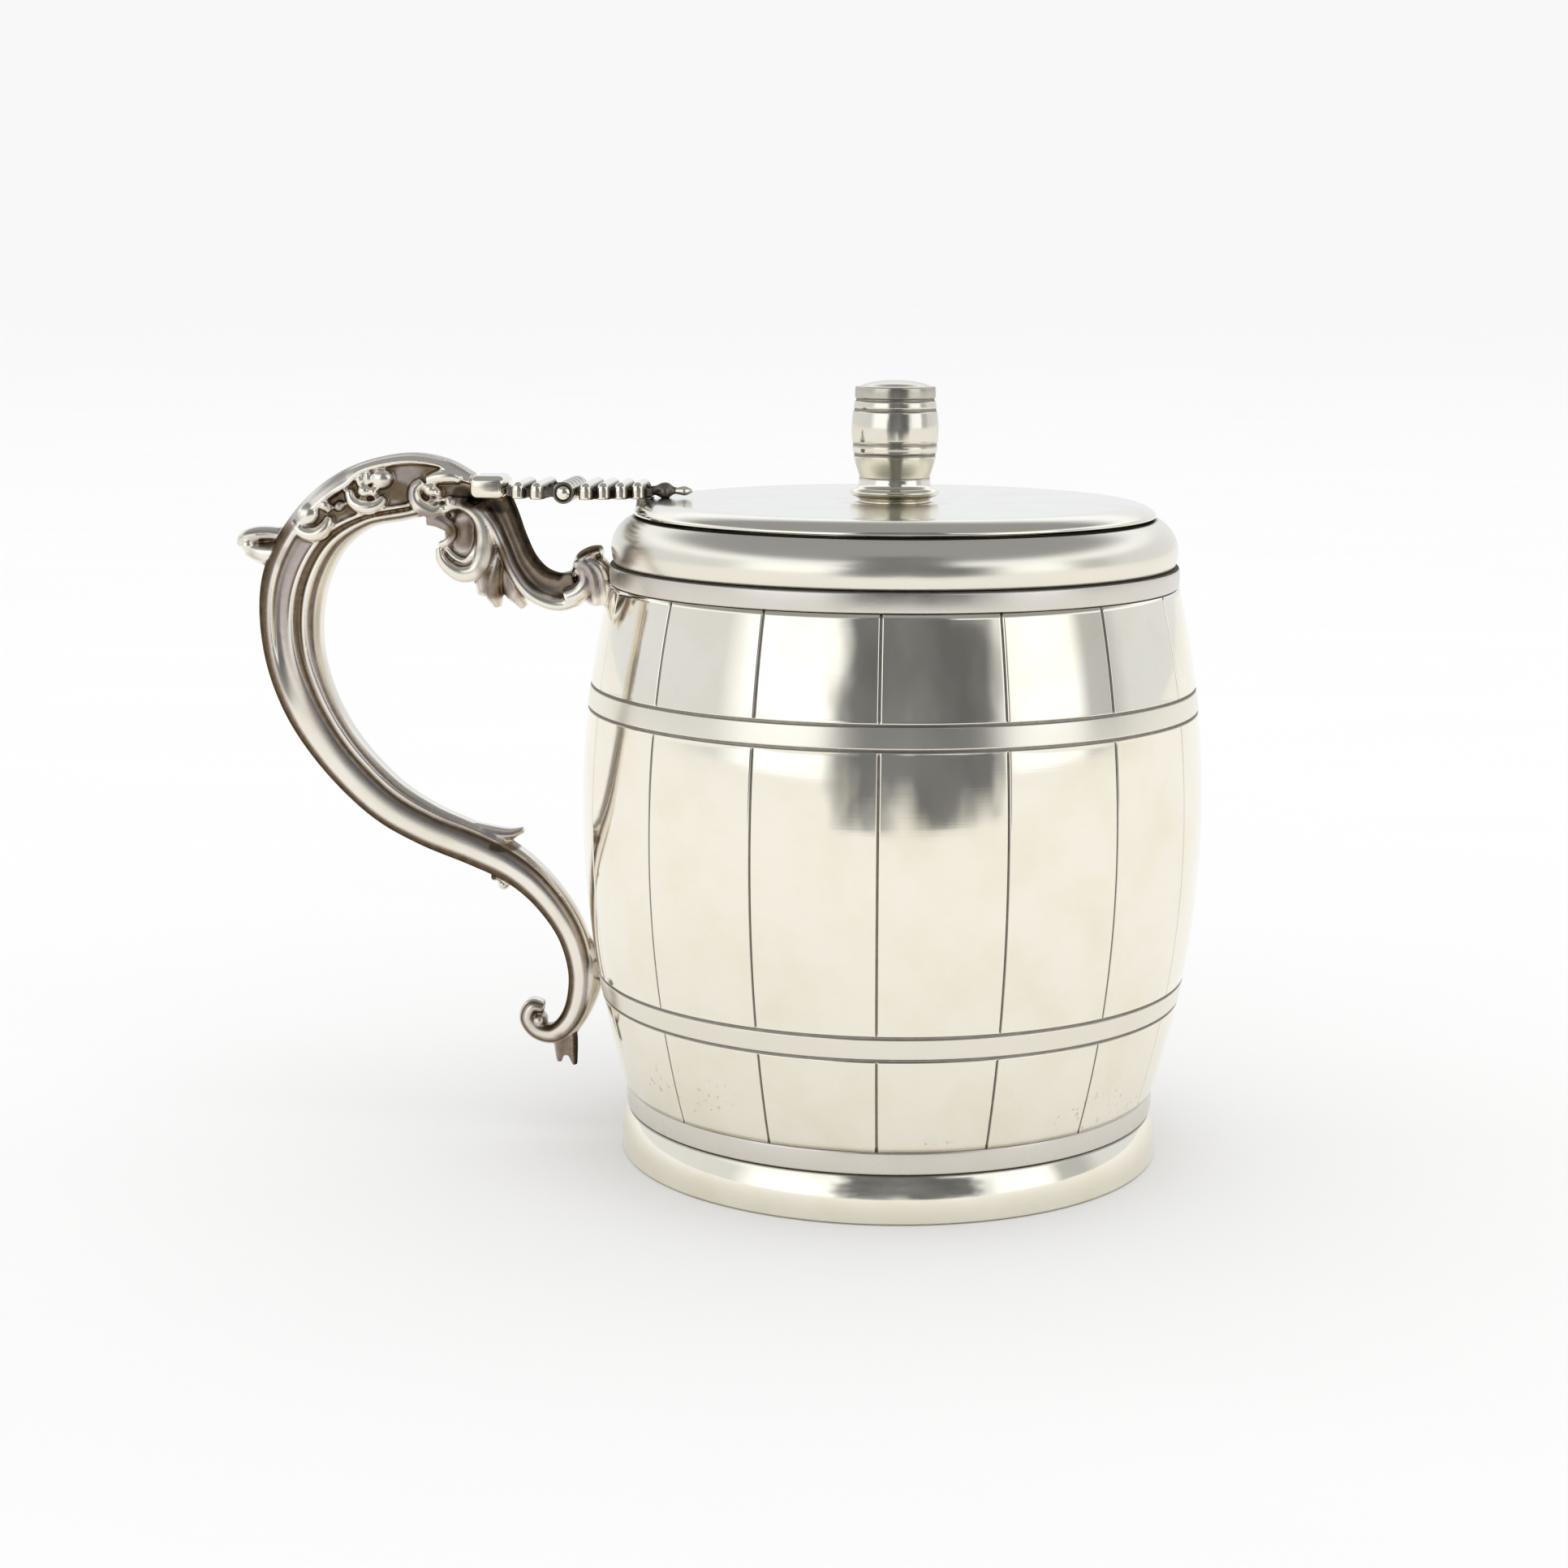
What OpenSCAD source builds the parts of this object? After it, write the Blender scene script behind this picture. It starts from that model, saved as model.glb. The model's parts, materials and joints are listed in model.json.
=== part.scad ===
// Barrel-shaped silver mustard pot with a hinged lid, a glass liner and a cast scroll handle.
// Millimetres, +Z up. The origin is the centre of the foot's underside, and the handle is towards -X.

/* [Barrel] */
// Widest outside radius of the barrel
belly_r = 30.3; // [26:0.1:36]
// Height of the widest place above the table
belly_z = 34; // [28:0.5:40]
// Radius of the curve along a stave
stave_arc_r = 92; // [80:1:130]
// Height of the staved wall
barrel_h = 49.4; // [44:0.1:54]
// Thickness of the silver sheet
wall = 0.9; // [0.6:0.05:1.2]
// Number of staves marked round the barrel
stave_count = 16; // [8:1:24]
// Width of an engraved stave line
line_w = 0.36; // [0.2:0.02:0.6]
// Depth of an engraved line
line_d = 0.2; // [0.1:0.02:0.3]
// Height of the lower hoop's bottom line above the staved wall's lower edge
lower_hoop_rise = 9.2; // [6:0.1:14]
// Height of the upper hoop's bottom line above the staved wall's lower edge
upper_hoop_rise = 37.6; // [30:0.1:40]
// Width of an engraved hoop
hoop_w = 2.2; // [1.4:0.1:3]

/* [Foot] */
// Height of the foot ring
foot_h = 4.6; // [3:0.1:6]
// Height of the foot ring's widest place above the table
foot_bulge_z = 1.3; // [0.8:0.1:2.4]
// Radius of the foot ring's rounded outside
foot_round = 11; // [8:0.1:16]
// Thickness of the foot ring at its top edge
foot_t = 1.5; // [1.2:0.1:2.5]
// Height of the satin wire above the foot ring
foot_wire_h = 2.3; // [1.6:0.1:3]
// Thickness of the base plate
base_t = 0.9; // [0.6:0.1:1.4]

/* [Neck] */
// Height of the collar hoop
collar_h = 2; // [1.4:0.1:3]
// Height of the rounded neck band
neck_h = 4.5; // [4:0.1:5.5]
// Height of the neck band's widest place above the collar hoop
neck_bulge_rise = 1.4; // [1:0.1:1.7]
// How much of the neck band's round top is cut off flat for the rim
rim_trim = 0.2; // [0.1:0.05:0.4]
// Width of the flat land round the mouth
rim_land = 0.8; // [0.6:0.1:1.2]
// Thickness of the ledge that carries the liner
seat_t = 1.2; // [0.8:0.1:1.6]
// Width of the ledge under the liner's flange
seat_ledge = 1.1; // [0.8:0.1:1.6]

/* [Liner] */
// Thickness of the glass wall
glass_t = 2; // [1.4:0.1:3]
// Height of the flange that rests on the ledge
liner_flange_h = 1.8; // [1.2:0.1:2.4]
// Height of the lip above the flange
liner_lip_h = 1.5; // [0.8:0.1:1.6]
// How much smaller the liner is at its base than under its flange
liner_taper = 1.2; // [0.4:0.1:2]
// Gap under the hanging liner
liner_base_gap = 1.1; // [0.5:0.1:3]
// Gap beside the liner where it passes the ledge or the mouth
liner_clear = 0.2; // [0.1:0.05:0.4]

/* [Lid] */
// Gap between the closed lid and the rim
lid_gap = 0.2; // [0.1:0.05:0.4]
// Thickness of the lid
lid_t = 0.7; // [0.6:0.05:1]
// Width of the lid's flat border
lid_border = 4; // [3:0.1:6]
// Height of the lid's shallow dome above its border
lid_rise = 0.4; // [0.2:0.05:0.8]
// Height of the bezel under the lid
bezel_h = 0.9; // [0.6:0.1:1]
// Thickness of the bezel
bezel_t = 0.7; // [0.5:0.1:1]
// Gap between the bezel and the mouth
bezel_clear = 0.35; // [0.3:0.05:0.5]

/* [Finial] */
// Widest radius of the barrel finial
finial_r = 4.2; // [3.4:0.1:5]
// Height of the finial's staved barrel
finial_h = 8.7; // [8:0.1:11]
// Height of the widest place above the finial barrel's lower edge
finial_belly_rise = 4.6; // [4:0.1:5]
// Radius of the finial's stave curve
finial_arc_r = 12.3; // [11:0.1:16]
// Radius of the flange at the finial's base
finial_flange_r = 4.4; // [3.8:0.1:5]
// Height of the plain foot under that flange
finial_foot_h = 0.6; // [0.4:0.1:1]
// Height of the rounded flange
finial_flange_h = 0.9; // [0.7:0.1:1.2]
// Height of the waist above the flange
finial_waist_h = 0.9; // [0.6:0.1:1.2]
// Height of the dome on top of the finial barrel
finial_dome = 0.6; // [0.3:0.1:1]
// Radius of the stud that holds the finial
stud_r = 0.9; // [0.7:0.05:1.2]
// Length of the stud inside the finial barrel
stud_grip = 3; // [2:0.1:4]
// Height of the nut under the lid
nut_h = 1.2; // [0.9:0.1:1.6]
// Radius of the nut over its corners
nut_r = 2.2; // [1.8:0.1:3]

/* [Hinge] */
// Distance from the lid's edge out to the hinge pin
hinge_reach = 6.4; // [5.8:0.1:8]
// Height of the hinge pin above the lid's border
hinge_rise = 1.3; // [1.2:0.1:2]
// Radius of the hinge pin
pin_r = 0.7; // [0.6:0.05:0.8]
// Outside radius of the knuckles
knuckle_r = 1.05; // [1:0.05:1.3]
// Number of knuckles along the pin
knuckle_count = 5; // [3:2:7]
// Length of one knuckle
knuckle_l = 1.8; // [1.4:0.1:2.4]
// Gap between neighbouring knuckles
knuckle_gap = 0.1; // [0.06:0.02:0.2]
// Running clearance of the pin in the lid's knuckles
pin_clear = 0.04; // [0.02:0.01:0.08]
// Thickness of the hinge leaves
leaf_t = 1.3; // [1:0.1:1.6]
// Length of the handle's hinge leaf from the pin to the block
handle_leaf_l = 6; // [5:0.1:8]
// Length of the lid's hinge leaf from the pin to its tip
lid_leaf_l = 12.4; // [11:0.1:14]
// Half width of the leaves at the knuckles
leaf_half_w = 4.1; // [3.4:0.1:5]
// Radius of the lobes along the leaves
lobe_r = 0.95; // [0.8:0.05:1]
// Radius of the ribs that cross the leaves from lobe to lobe
rib_r = 0.75; // [0.6:0.05:0.8]
// Height of those ribs above the leaf
rib_rise = 0.3; // [0.15:0.05:0.3]
// Gap between a leaf and the other leaf's knuckles
leaf_clear = 0.25; // [0.2:0.05:0.4]
// Radius of the post between the lid and its leaf
post_r = 0.95; // [0.7:0.05:1.2]

/* [Handle] */
// Height at which the tail is soldered to the barrel
tail_z = 19; // [16:0.5:24]
// How far the C-scroll stands out from the line between the tail and the hinge block
scroll_reach = 22.2; // [19:0.2:27]
// Width of the C-scroll, seen from the side, at its widest
scroll_w = 6.5; // [5.5:0.1:8]
// Thickness of the C-scroll
scroll_t = 5; // [4:0.1:6]
// Length of the block that carries the hinge leaf
block_l = 3.6; // [3:0.1:5]
// Height of that block
block_h = 2.3; // [1.8:0.1:3]
// Height of the block's top above the pin
block_rise = 1.4; // [1:0.1:2]
// Width of that block
block_w = 5; // [4:0.1:6]
// Thickness of the bracket between the block and the neck
bracket_t = 4; // [3:0.1:5]
// Thickness of the volute
volute_t = 4.4; // [3.6:0.1:5.4]
// Radius of the bud on the handle's back
bud_r = 1.4; // [1.1:0.05:1.8]
// Radius of the bud's neck under the bulb
bud_neck_r = 0.9; // [0.7:0.05:1]
// Radius of the bud's neck where it flares into the handle
bud_flare_r = 1.8; // [1.2:0.1:2]
// Radius of the bead at the bud's tip
bud_tip_r = 0.6; // [0.4:0.05:0.8]
// Length of that bud
bud_l = 3.8; // [3.4:0.1:5]
// Outside radius of a curled leaf on the C-scroll
curl_out_r = 1.2; // [1:0.05:1.25]
// Tube radius of the curled leaves
curl_r = 0.35; // [0.3:0.05:0.4]
// Radius of the bead in a curled leaf
curl_bead_r = 0.4; // [0.2:0.05:0.4]

/* [Hidden] */

silver = "#d9d3c3";
satin = "#c9c5ba";
aged = "#a89a84";
cobalt = "#1f2f8f";
fine = 256;
round_fn = 96;
small_fn = 48;
arc_fn = 720;
hex_fn = 6;
eps = 0.01;

// Heights of the stacked pieces
wire_z = foot_h;
barrel_z = wire_z + foot_wire_h;
collar_z = barrel_z + barrel_h;
neck_z = collar_z + collar_h;
rim_z = neck_z + neck_h;
lid_z = rim_z + lid_gap;
border_z = lid_z + lid_t;
lid_top_z = border_z + lid_rise;
lower_hoop_z = barrel_z + lower_hoop_rise;
upper_hoop_z = barrel_z + upper_hoop_rise;

// Outside radius of the barrel at a height
function stave_r(z) = belly_r - stave_arc_r + sqrt(pow(stave_arc_r, 2) - pow(z - belly_z, 2));

// Radii that follow from the barrel's curve
wire_r = stave_r(barrel_z) - line_d / 2;
wire_inner_r = stave_r(barrel_z) - wall - line_d;
foot_inner_r = wire_r - foot_t;
foot_centre_r = wire_r - sqrt(pow(foot_round, 2) - pow(foot_h - foot_bulge_z, 2));
base_r = wire_inner_r - eps;
collar_r = stave_r(collar_z);
collar_inner_r = collar_r - wall;
seat_outer_r = collar_inner_r - eps;
neck_round = neck_h - neck_bulge_rise + rim_trim;
neck_centre_r = collar_r - line_d - neck_round;
neck_centre_z = neck_z + neck_bulge_rise;
rim_r = neck_centre_r + sqrt(pow(neck_round, 2) - pow(rim_z - neck_centre_z, 2));
mouth_r = rim_r - rim_land;
lid_r = rim_r;
seat_inner_r = mouth_r - seat_ledge;
liner_r = seat_inner_r - liner_clear;
bezel_r = mouth_r - bezel_clear;

// Hinge places
pin_x = -(lid_r + hinge_reach);
pin_z = border_z + hinge_rise;
hinge_w = knuckle_count * knuckle_l + (knuckle_count - 1) * knuckle_gap;
leaf_z = pin_z - leaf_t / 2;
block_x = pin_x - handle_leaf_l - block_l;
block_z = pin_z + block_rise - block_h;
post_x = -(lid_r - post_r);

// Catmull-Rom curve through rows of numbers, with n steps between rows
function row(rows, i) = rows[max(0, min(len(rows) - 1, i))];
function spline(a, b, c, d, t) =
    (2 * b + (c - a) * t + (2 * a - 5 * b + 4 * c - d) * t * t + (3 * b - a - 3 * c + d) * t * t * t) / 2;
function smooth(rows, n) = concat(
    [for (i = [0:len(rows) - 2], k = [0:n - 1])
        spline(row(rows, i - 1), rows[i], rows[i + 1], row(rows, i + 2), k / n)],
    [rows[len(rows) - 1]]
);
function ring_row(rows, i) = rows[(i + len(rows)) % len(rows)];
function closed(rows, n) = [
    for (i = [0:len(rows) - 1], k = [0:n - 1])
        spline(ring_row(rows, i - 1), rows[i], ring_row(rows, i + 1), ring_row(rows, i + 2), k / n)
];
function slice(rows, from, to) = [for (i = [from:to]) rows[i]];
function heading(rows, i) =
    let (a = row(rows, i - 1), b = row(rows, i + 1), d = [b[0] - a[0], b[1] - a[1]]) d / norm(d);

// Mirrors a half section, listed from the outside edge to the inside edge, to the other side
function both_sides(half) = concat(half, [for (i = [len(half) - 1:-1:0]) [half[i][0], -half[i][1]]]);

// Reeded section of the C-scroll: back, rim, channel, middle rib, groove, inner rib, groove, inner face
function reeded(rib) =
    let (rest = rib + 0.5)
    both_sides([
        [0.5, 0.22], [0.48, 0.38], [0.42, 0.48], [0.37, 0.5], [0.32, 0.43], [0.28, 0.31], [rib + 0.1, 0.28],
        [rib + 0.05, 0.37], [rib, 0.46], [rib - 0.1 * rest, 0.41], [rib - 0.19 * rest, 0.33],
        [rib - 0.28 * rest, 0.34], [rib - 0.4 * rest, 0.45], [rib - 0.5 * rest, 0.41],
        [rib - 0.58 * rest, 0.35], [rib - 0.7 * rest, 0.39], [rib - 0.88 * rest, 0.32], [-0.5, 0.18]
    ]);
// Section of the tail: a round rib outside and a hollow strip towards the barrel
tail_section = both_sides([
    [0.5, 0.16], [0.46, 0.38], [0.3, 0.5], [0.1, 0.48], [-0.02, 0.36], [-0.14, 0.3], [-0.3, 0.32],
    [-0.42, 0.34], [-0.5, 0.2]
]);
// Section of the bracket: a round rib underneath and a wide hollow above it
bracket_section = both_sides([
    [0.5, 0.18], [0.46, 0.4], [0.34, 0.5], [0.2, 0.46], [0.12, 0.34], [-0.1, 0.28], [-0.32, 0.34],
    [-0.44, 0.38], [-0.5, 0.26]
]);
// Section of the volute's band
band_section = both_sides([[0.5, 0.3], [0.42, 0.46], [0.2, 0.5], [-0.2, 0.5], [-0.42, 0.44], [-0.5, 0.3]]);

// Solid swept along rows of x, z, width, thickness and rib place
module sweep(rows, sections, first, last) {
    rings = len(rows);
    sides = len(sections[0]);
    points = [
        for (i = [0:rings - 1])
            let (
                row_i = rows[i],
                d = i == 0 ? first : i == rings - 1 ? last : heading(rows, i)
            )
            for (p = sections[i])
                [row_i[0] + d[1] * p[0] * row_i[2], p[1] * row_i[3], row_i[1] - d[0] * p[0] * row_i[2]]
    ];
    walls = [
        for (i = [0:rings - 2], j = [0:sides - 1])
            let (a = i * sides + j, b = i * sides + (j + 1) % sides)
            each [[a, b + sides, b], [a, a + sides, b + sides]]
    ];
    start = [for (j = [0:sides - 1]) j];
    end = [for (j = [sides - 1:-1:0]) (rings - 1) * sides + j];
    polyhedron(points, concat(walls, [start, end]), convexity = 10);
}

module same_section_sweep(rows, section, first, last) {
    sweep(rows, [for (r = rows) section], first, last);
}

// A place beside a swept middle line: row number, and share of the width towards the outside
function beside(path, i, share) =
    let (r = path[i], d = heading(path, i))
    [r[0] + d[1] * share * r[2], r[1] - d[0] * share * r[2]];

// The handle's middle line: reach beyond the line from the tail to the hinge block, height above the tail,
// width, thickness and place of the middle rib
drawn_rise = 46;
drawn_reach = 22.2;
drawn_w = 6.5;
drawn_t = 5;
tail_x = -stave_r(tail_z);
handle_rows = [
    [0.1, 45.9, 3.2, 4.4, -0.24], [3.2, 46.4, 5.4, 4.8, -0.28], [6.7, 46.15, 6.5, 5, -0.28],
    [11.7, 44.9, 6.2, 5, -0.26], [16.5, 41.6, 6.1, 5, -0.14], [20.3, 36.6, 6.4, 5, 0],
    [22.2, 30.6, 5.9, 4.9, 0.02], [22.2, 24.9, 5.4, 4.7, 0.02], [20.5, 19.8, 4.9, 4.4, 0],
    [17.4, 15.3, 4.6, 4.2, 0], [13.8, 12.6, 4.3, 4, 0], [9.4, 10.5, 4.1, 3.8, 0],
    [6.1, 8.5, 3.6, 3.6, 0], [3.8, 5.8, 3.2, 3.3, 0], [2.3, 2.2, 2.9, 3.1, 0], [2.2, -1.6, 2.7, 2.9, 0],
    [3.2, -4.8, 2.5, 2.7, 0], [4.8, -7.2, 2.1, 2.6, 0], [6.8, -8.7, 1.7, 2.5, 0], [8.6, -8.5, 1.4, 2.4, 0],
    [9.2, -7.1, 1.2, 2.4, 0], [8.3, -5.9, 1.1, 2.3, 0], [7.2, -5.9, 0.9, 2.2, 0]
];
curve_steps = 4;
scroll_last = 11;
function place(reach, height) =
    let (share = height / drawn_rise)
    [
        tail_x + (block_x - tail_x) * share - reach * scroll_reach / drawn_reach,
        tail_z + share * (pin_z - tail_z)
    ];
handle_path = smooth(
    [
        for (r = handle_rows)
            concat(place(r[0], r[1]), [r[2] * scroll_w / drawn_w, r[3] * scroll_t / drawn_t, r[4]])
    ],
    curve_steps
);
butt = scroll_last * curve_steps;
butt_heading = heading(handle_path, butt);
scroll_path = slice(handle_path, 0, butt);
tail_path = slice(handle_path, butt, len(handle_path) - 1);

// Leaves cast on the handle: rows of the middle line that they sit on, and their free edges
seat_share = 0.52;
leaf_plate_t = 2.6;
tail_leaf_rows = [66, 71];
tail_leaf_tips = [[6.8, -10.6], [6.8, -12.2], [5.9, -10.9], [5.4, -12.4], [4.5, -10.8]];
spur_rows = [butt - 2, butt + 4];
spur_tips = [[7.2, 12.8], [5.9, 12.4], [4.3, 12.9], [4.6, 11.5]];
bud_row = 19;

// The volute, drawn from the place where it leaves the C-scroll: right, up and width
volute_row = 4;
volute_rows = [
    [0.7, -0.6, 1.3], [2.5, -0.5, 1.4], [4.2, -1.6, 1.5], [4.6, -3.5, 1.5], [4, -5.5, 1.5], [2.3, -6.2, 1.4],
    [0.8, -5.2, 1.2], [0.5, -3.6, 1], [1.3, -2.5, 0.9], [2.3, -2.9, 0.8]
];
volute_web = [2.5, -3.3];
volute_web_r = 2.3;
volute_web_t = 3;

// Curled leaves in the channel of the C-scroll
curl_rows_at = [4, 10, 15];
curl_share = 0.08;
channel_share = 0.33;
curl_angle = 230;
curl_turn = -155;

// The bracket, drawn from the middle of the block's underside towards the neck: right, down and width
drawn_span = 11.8;
bracket_span = -collar_r - (block_x + block_l / 2);
bracket_rows = [
    [0, eps, 3.4], [1.2, 1.9, 2.7], [2.3, 4.3, 2.3], [3.2, 6.6, 2.6], [4.8, 8.4, 3], [6.8, 9, 3.2],
    [8.7, 8.6, 3.1]
];
function bracket_place(right, down) =
    [block_x + block_l / 2 + right * bracket_span / drawn_span, block_z - down];
bracket_path = smooth(
    [for (r = bracket_rows) concat(bracket_place(r[0], r[1]), [r[2], bracket_t])],
    curve_steps
);
bracket_leaf_rows = [5, 17];
bracket_leaf_tips = [
    [3.5, 11.3], [2.6, 10.1], [1.6, 11.4], [1, 9.8], [-0.5, 9.7], [-0.1, 7.6], [0.4, 5.4], [0.3, 3.2]
];
bracket_end = bracket_rows[len(bracket_rows) - 1];
terminal_points = [
    [0.1, 1.4], [-0.1, 2.6], [0.9, 3.7], [2.7, 4.6], [4.6, 4.4], [5, 1], [4.6, -2.1], [2.6, -2.2], [0.2, -1.3]
];
block_bevel = 0.4;

// Small fits and details of the hinge and the finial
pin_seat = 0.01;
pin_dome = 0.3;
lobe_dome = 0.35;
stud_clear = 0.03;
stud_proud = 0.3;
finial_z = lid_top_z + finial_foot_h + finial_flange_h + finial_waist_h;
finial_foot_inset = 1;
finial_foot_r = finial_flange_r - finial_foot_inset;
finial_line_d = 0.15;
finial_band_h = 1.2;
finial_top_inset = 0.3;
finial_lines = [2.2, 3.2, 6.4, 7.3];
function finial_stave_r(rise) =
    finial_r - finial_arc_r + sqrt(pow(finial_arc_r, 2) - pow(rise - finial_belly_rise, 2));
finial_waist_r = finial_stave_r(0);
finial_band_r = finial_stave_r(finial_h - finial_band_h);
finial_top_r = finial_band_r - finial_top_inset;

// Lobes along the edges of the hinge leaves: place of the first, spacing, number and narrowing
first_lobe = knuckle_r + leaf_clear + lobe_r;
lobe_spacing = 1.9;
handle_lobes = 2;
handle_narrowing = 0.7;
lid_lobes = 4;
lid_narrowing = 0.65;
leaf_tip_r = lobe_r / 3;
function lobe_row(count, narrowing) =
    [for (i = [0:count - 1]) [first_lobe + i * lobe_spacing * lobe_r, leaf_half_w - i * narrowing]];

// Radius of the sphere whose cap has this base radius and height
function cap_r(base, h) = (pow(base, 2) + pow(h, 2)) / (2 * h);

// Outside form of the barrel, collar and neck, used to seat what is soldered to them
module neck_disc() {
    translate([neck_centre_r, neck_centre_z])
        circle(neck_round, $fn = fine);
}

module stave_disc(inset) {
    translate([belly_r - stave_arc_r, belly_z])
        circle(stave_arc_r - inset, $fn = arc_fn);
}

module band(z, h, r_from, r_to) {
    translate([r_from, z])
        square([r_to - r_from, h]);
}

module body_form() {
    rotate_extrude($fn = fine)
        union() {
            intersection() {
                stave_disc(0);
                band(barrel_z, barrel_h, 0, belly_r);
            }
            band(collar_z, collar_h, 0, collar_r);
            intersection() {
                neck_disc();
                band(neck_z, neck_h, 0, collar_r);
            }
            band(neck_z, neck_h, 0, mouth_r);
        }
}

module hoop_groove(z) {
    translate([stave_r(z), z])
        circle(line_d, $fn = small_fn);
}

module stave_zone(z_from, z_to) {
    difference() {
        band(z_from, z_to - z_from, mouth_r, belly_r + wall);
        stave_disc(line_d);
    }
}

module barrel_body() {
    color(silver)
        difference() {
            rotate_extrude($fn = fine)
                difference() {
                    intersection() {
                        stave_disc(0);
                        band(barrel_z, barrel_h, 0, belly_r);
                    }
                    stave_disc(wall);
                    for (z = [lower_hoop_z, upper_hoop_z])
                        for (edge = [0, hoop_w])
                            hoop_groove(z + edge);
                }
            intersection() {
                rotate_extrude($fn = fine) {
                    stave_zone(barrel_z - eps, lower_hoop_z);
                    stave_zone(lower_hoop_z + hoop_w, upper_hoop_z);
                    stave_zone(upper_hoop_z + hoop_w, collar_z + eps);
                }
                for (i = [0:stave_count - 1])
                    rotate([0, 0, i * 360 / stave_count])
                        translate([0, -line_w / 2, 0])
                            cube([belly_r + wall, line_w, collar_z + wall]);
            }
        }
}

module base_plate() {
    color(silver)
        translate([0, 0, wire_z])
            cylinder(h = base_t, r = base_r, $fn = fine);
}

module foot_ring() {
    color(silver)
        rotate_extrude($fn = fine)
            intersection() {
                translate([foot_centre_r, foot_bulge_z])
                    circle(foot_round, $fn = arc_fn);
                band(0, foot_h, foot_inner_r, foot_centre_r + foot_round);
            }
}

module foot_wire() {
    color(satin)
        rotate_extrude($fn = fine)
            difference() {
                band(wire_z, foot_wire_h, wire_inner_r, wire_r);
                for (z = [wire_z, barrel_z - line_w])
                    translate([wire_r, z])
                        circle(line_d, $fn = small_fn);
            }
}

module collar_hoop() {
    color(satin)
        rotate_extrude($fn = fine)
            difference() {
                band(collar_z, collar_h, collar_inner_r, collar_r);
                for (z = [collar_z + line_d, neck_z])
                    translate([collar_r, z])
                        circle(line_d, $fn = small_fn);
            }
}

module neck_band() {
    color(silver)
        rotate_extrude($fn = fine)
            intersection() {
                difference() {
                    neck_disc();
                    translate([neck_centre_r, neck_centre_z])
                        circle(neck_round - wall, $fn = fine);
                }
                band(neck_z, neck_h, mouth_r, collar_r);
            }
}

module liner_seat() {
    color(silver)
        rotate_extrude($fn = fine)
            band(neck_z - seat_t, seat_t, seat_inner_r, seat_outer_r);
}

module glass_liner() {
    lip_z = neck_z + liner_flange_h;
    flange_r = mouth_r - liner_clear;
    floor_z = wire_z + base_t + liner_base_gap;
    base_liner_r = liner_r - liner_taper;
    color(cobalt, 0.6)
        rotate_extrude($fn = fine)
            polygon([
                [0, floor_z], [base_liner_r, floor_z], [liner_r, neck_z - seat_t], [liner_r, neck_z],
                [flange_r, neck_z], [flange_r, lip_z], [liner_r, lip_z + liner_lip_h],
                [liner_r - glass_t / 2, lip_z + liner_lip_h], [liner_r - glass_t, lip_z],
                [base_liner_r - glass_t, floor_z + glass_t], [0, floor_z + glass_t]
            ]);
}

module handle_scroll() {
    color(aged)
        sweep(scroll_path, [for (r = scroll_path) reeded(r[4])], [-1, 0], butt_heading);
}

module handle_tail() {
    color(aged)
        difference() {
            same_section_sweep(tail_path, tail_section, butt_heading, heading(tail_path, len(tail_path) - 1));
            body_form();
        }
}

// Flat cast piece, drawn from the side and centred on the handle's plane
module side_plate(points, t) {
    translate([0, t / 2, 0])
        rotate([90, 0, 0])
            linear_extrude(t)
                polygon(points);
}

module tail_leaf() {
    color(aged)
        side_plate(
            concat(
                [for (i = [tail_leaf_rows[0]:tail_leaf_rows[1]]) beside(handle_path, i, -seat_share)],
                smooth([for (p = tail_leaf_tips) place(p[0], p[1])], curve_steps)
            ),
            leaf_plate_t
        );
}

module scroll_spur() {
    color(aged)
        side_plate(
            concat(
                [for (i = [spur_rows[1]:-1:spur_rows[0]]) beside(handle_path, i, -seat_share)],
                smooth([for (p = spur_tips) place(p[0], p[1])], curve_steps)
            ),
            leaf_plate_t
        );
}

module handle_volute() {
    at = beside(handle_path, volute_row, -seat_share);
    path = smooth([for (r = volute_rows) [at[0] + r[0], at[1] + r[1], r[2], volute_t]], curve_steps);
    color(aged) {
        same_section_sweep(path, band_section, heading(path, 0), heading(path, len(path) - 1));
        translate([at[0] + volute_web[0], volute_web_t / 2, at[1] + volute_web[1]])
            rotate([90, 0, 0])
                cylinder(h = volute_web_t, r = volute_web_r, $fn = round_fn);
    }
}

module handle_bud() {
    at = beside(handle_path, bud_row, seat_share);
    d = heading(handle_path, bud_row);
    bulb_z = bud_l - bud_tip_r / 2 - bud_r;
    color(aged)
        translate([at[0], 0, at[1]])
            rotate([0, atan2(d[1], -d[0]), 0])
                rotate_extrude($fn = round_fn)
                    intersection() {
                        union() {
                            polygon([
                                [0, 0], [bud_flare_r, 0], [bud_neck_r, bulb_z - bud_r / 2], [0, bulb_z]
                            ]);
                            translate([0, bulb_z])
                                circle(bud_r, $fn = round_fn);
                            translate([0, bud_l - bud_tip_r])
                                circle(bud_tip_r, $fn = small_fn);
                        }
                        band(0, bud_l, 0, bud_flare_r);
                    }
}

module scroll_curls() {
    color(aged)
        for (i = curl_rows_at, side = [-1, 1])
            let (at = beside(handle_path, i, curl_share), bed = channel_share * handle_path[i][3]) {
                translate([at[0], side * (bed + curl_r), at[1]])
                    rotate([90, curl_turn, 0])
                        rotate_extrude(angle = curl_angle, $fn = round_fn)
                            translate([curl_out_r - curl_r, 0])
                                circle(curl_r, $fn = small_fn);
                translate([at[0], side * (bed + curl_bead_r), at[1]])
                    sphere(curl_bead_r, $fn = round_fn);
            }
}

module handle_bracket() {
    color(aged)
        same_section_sweep(bracket_path, bracket_section, [0, -1], [1, 0]);
}

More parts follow.
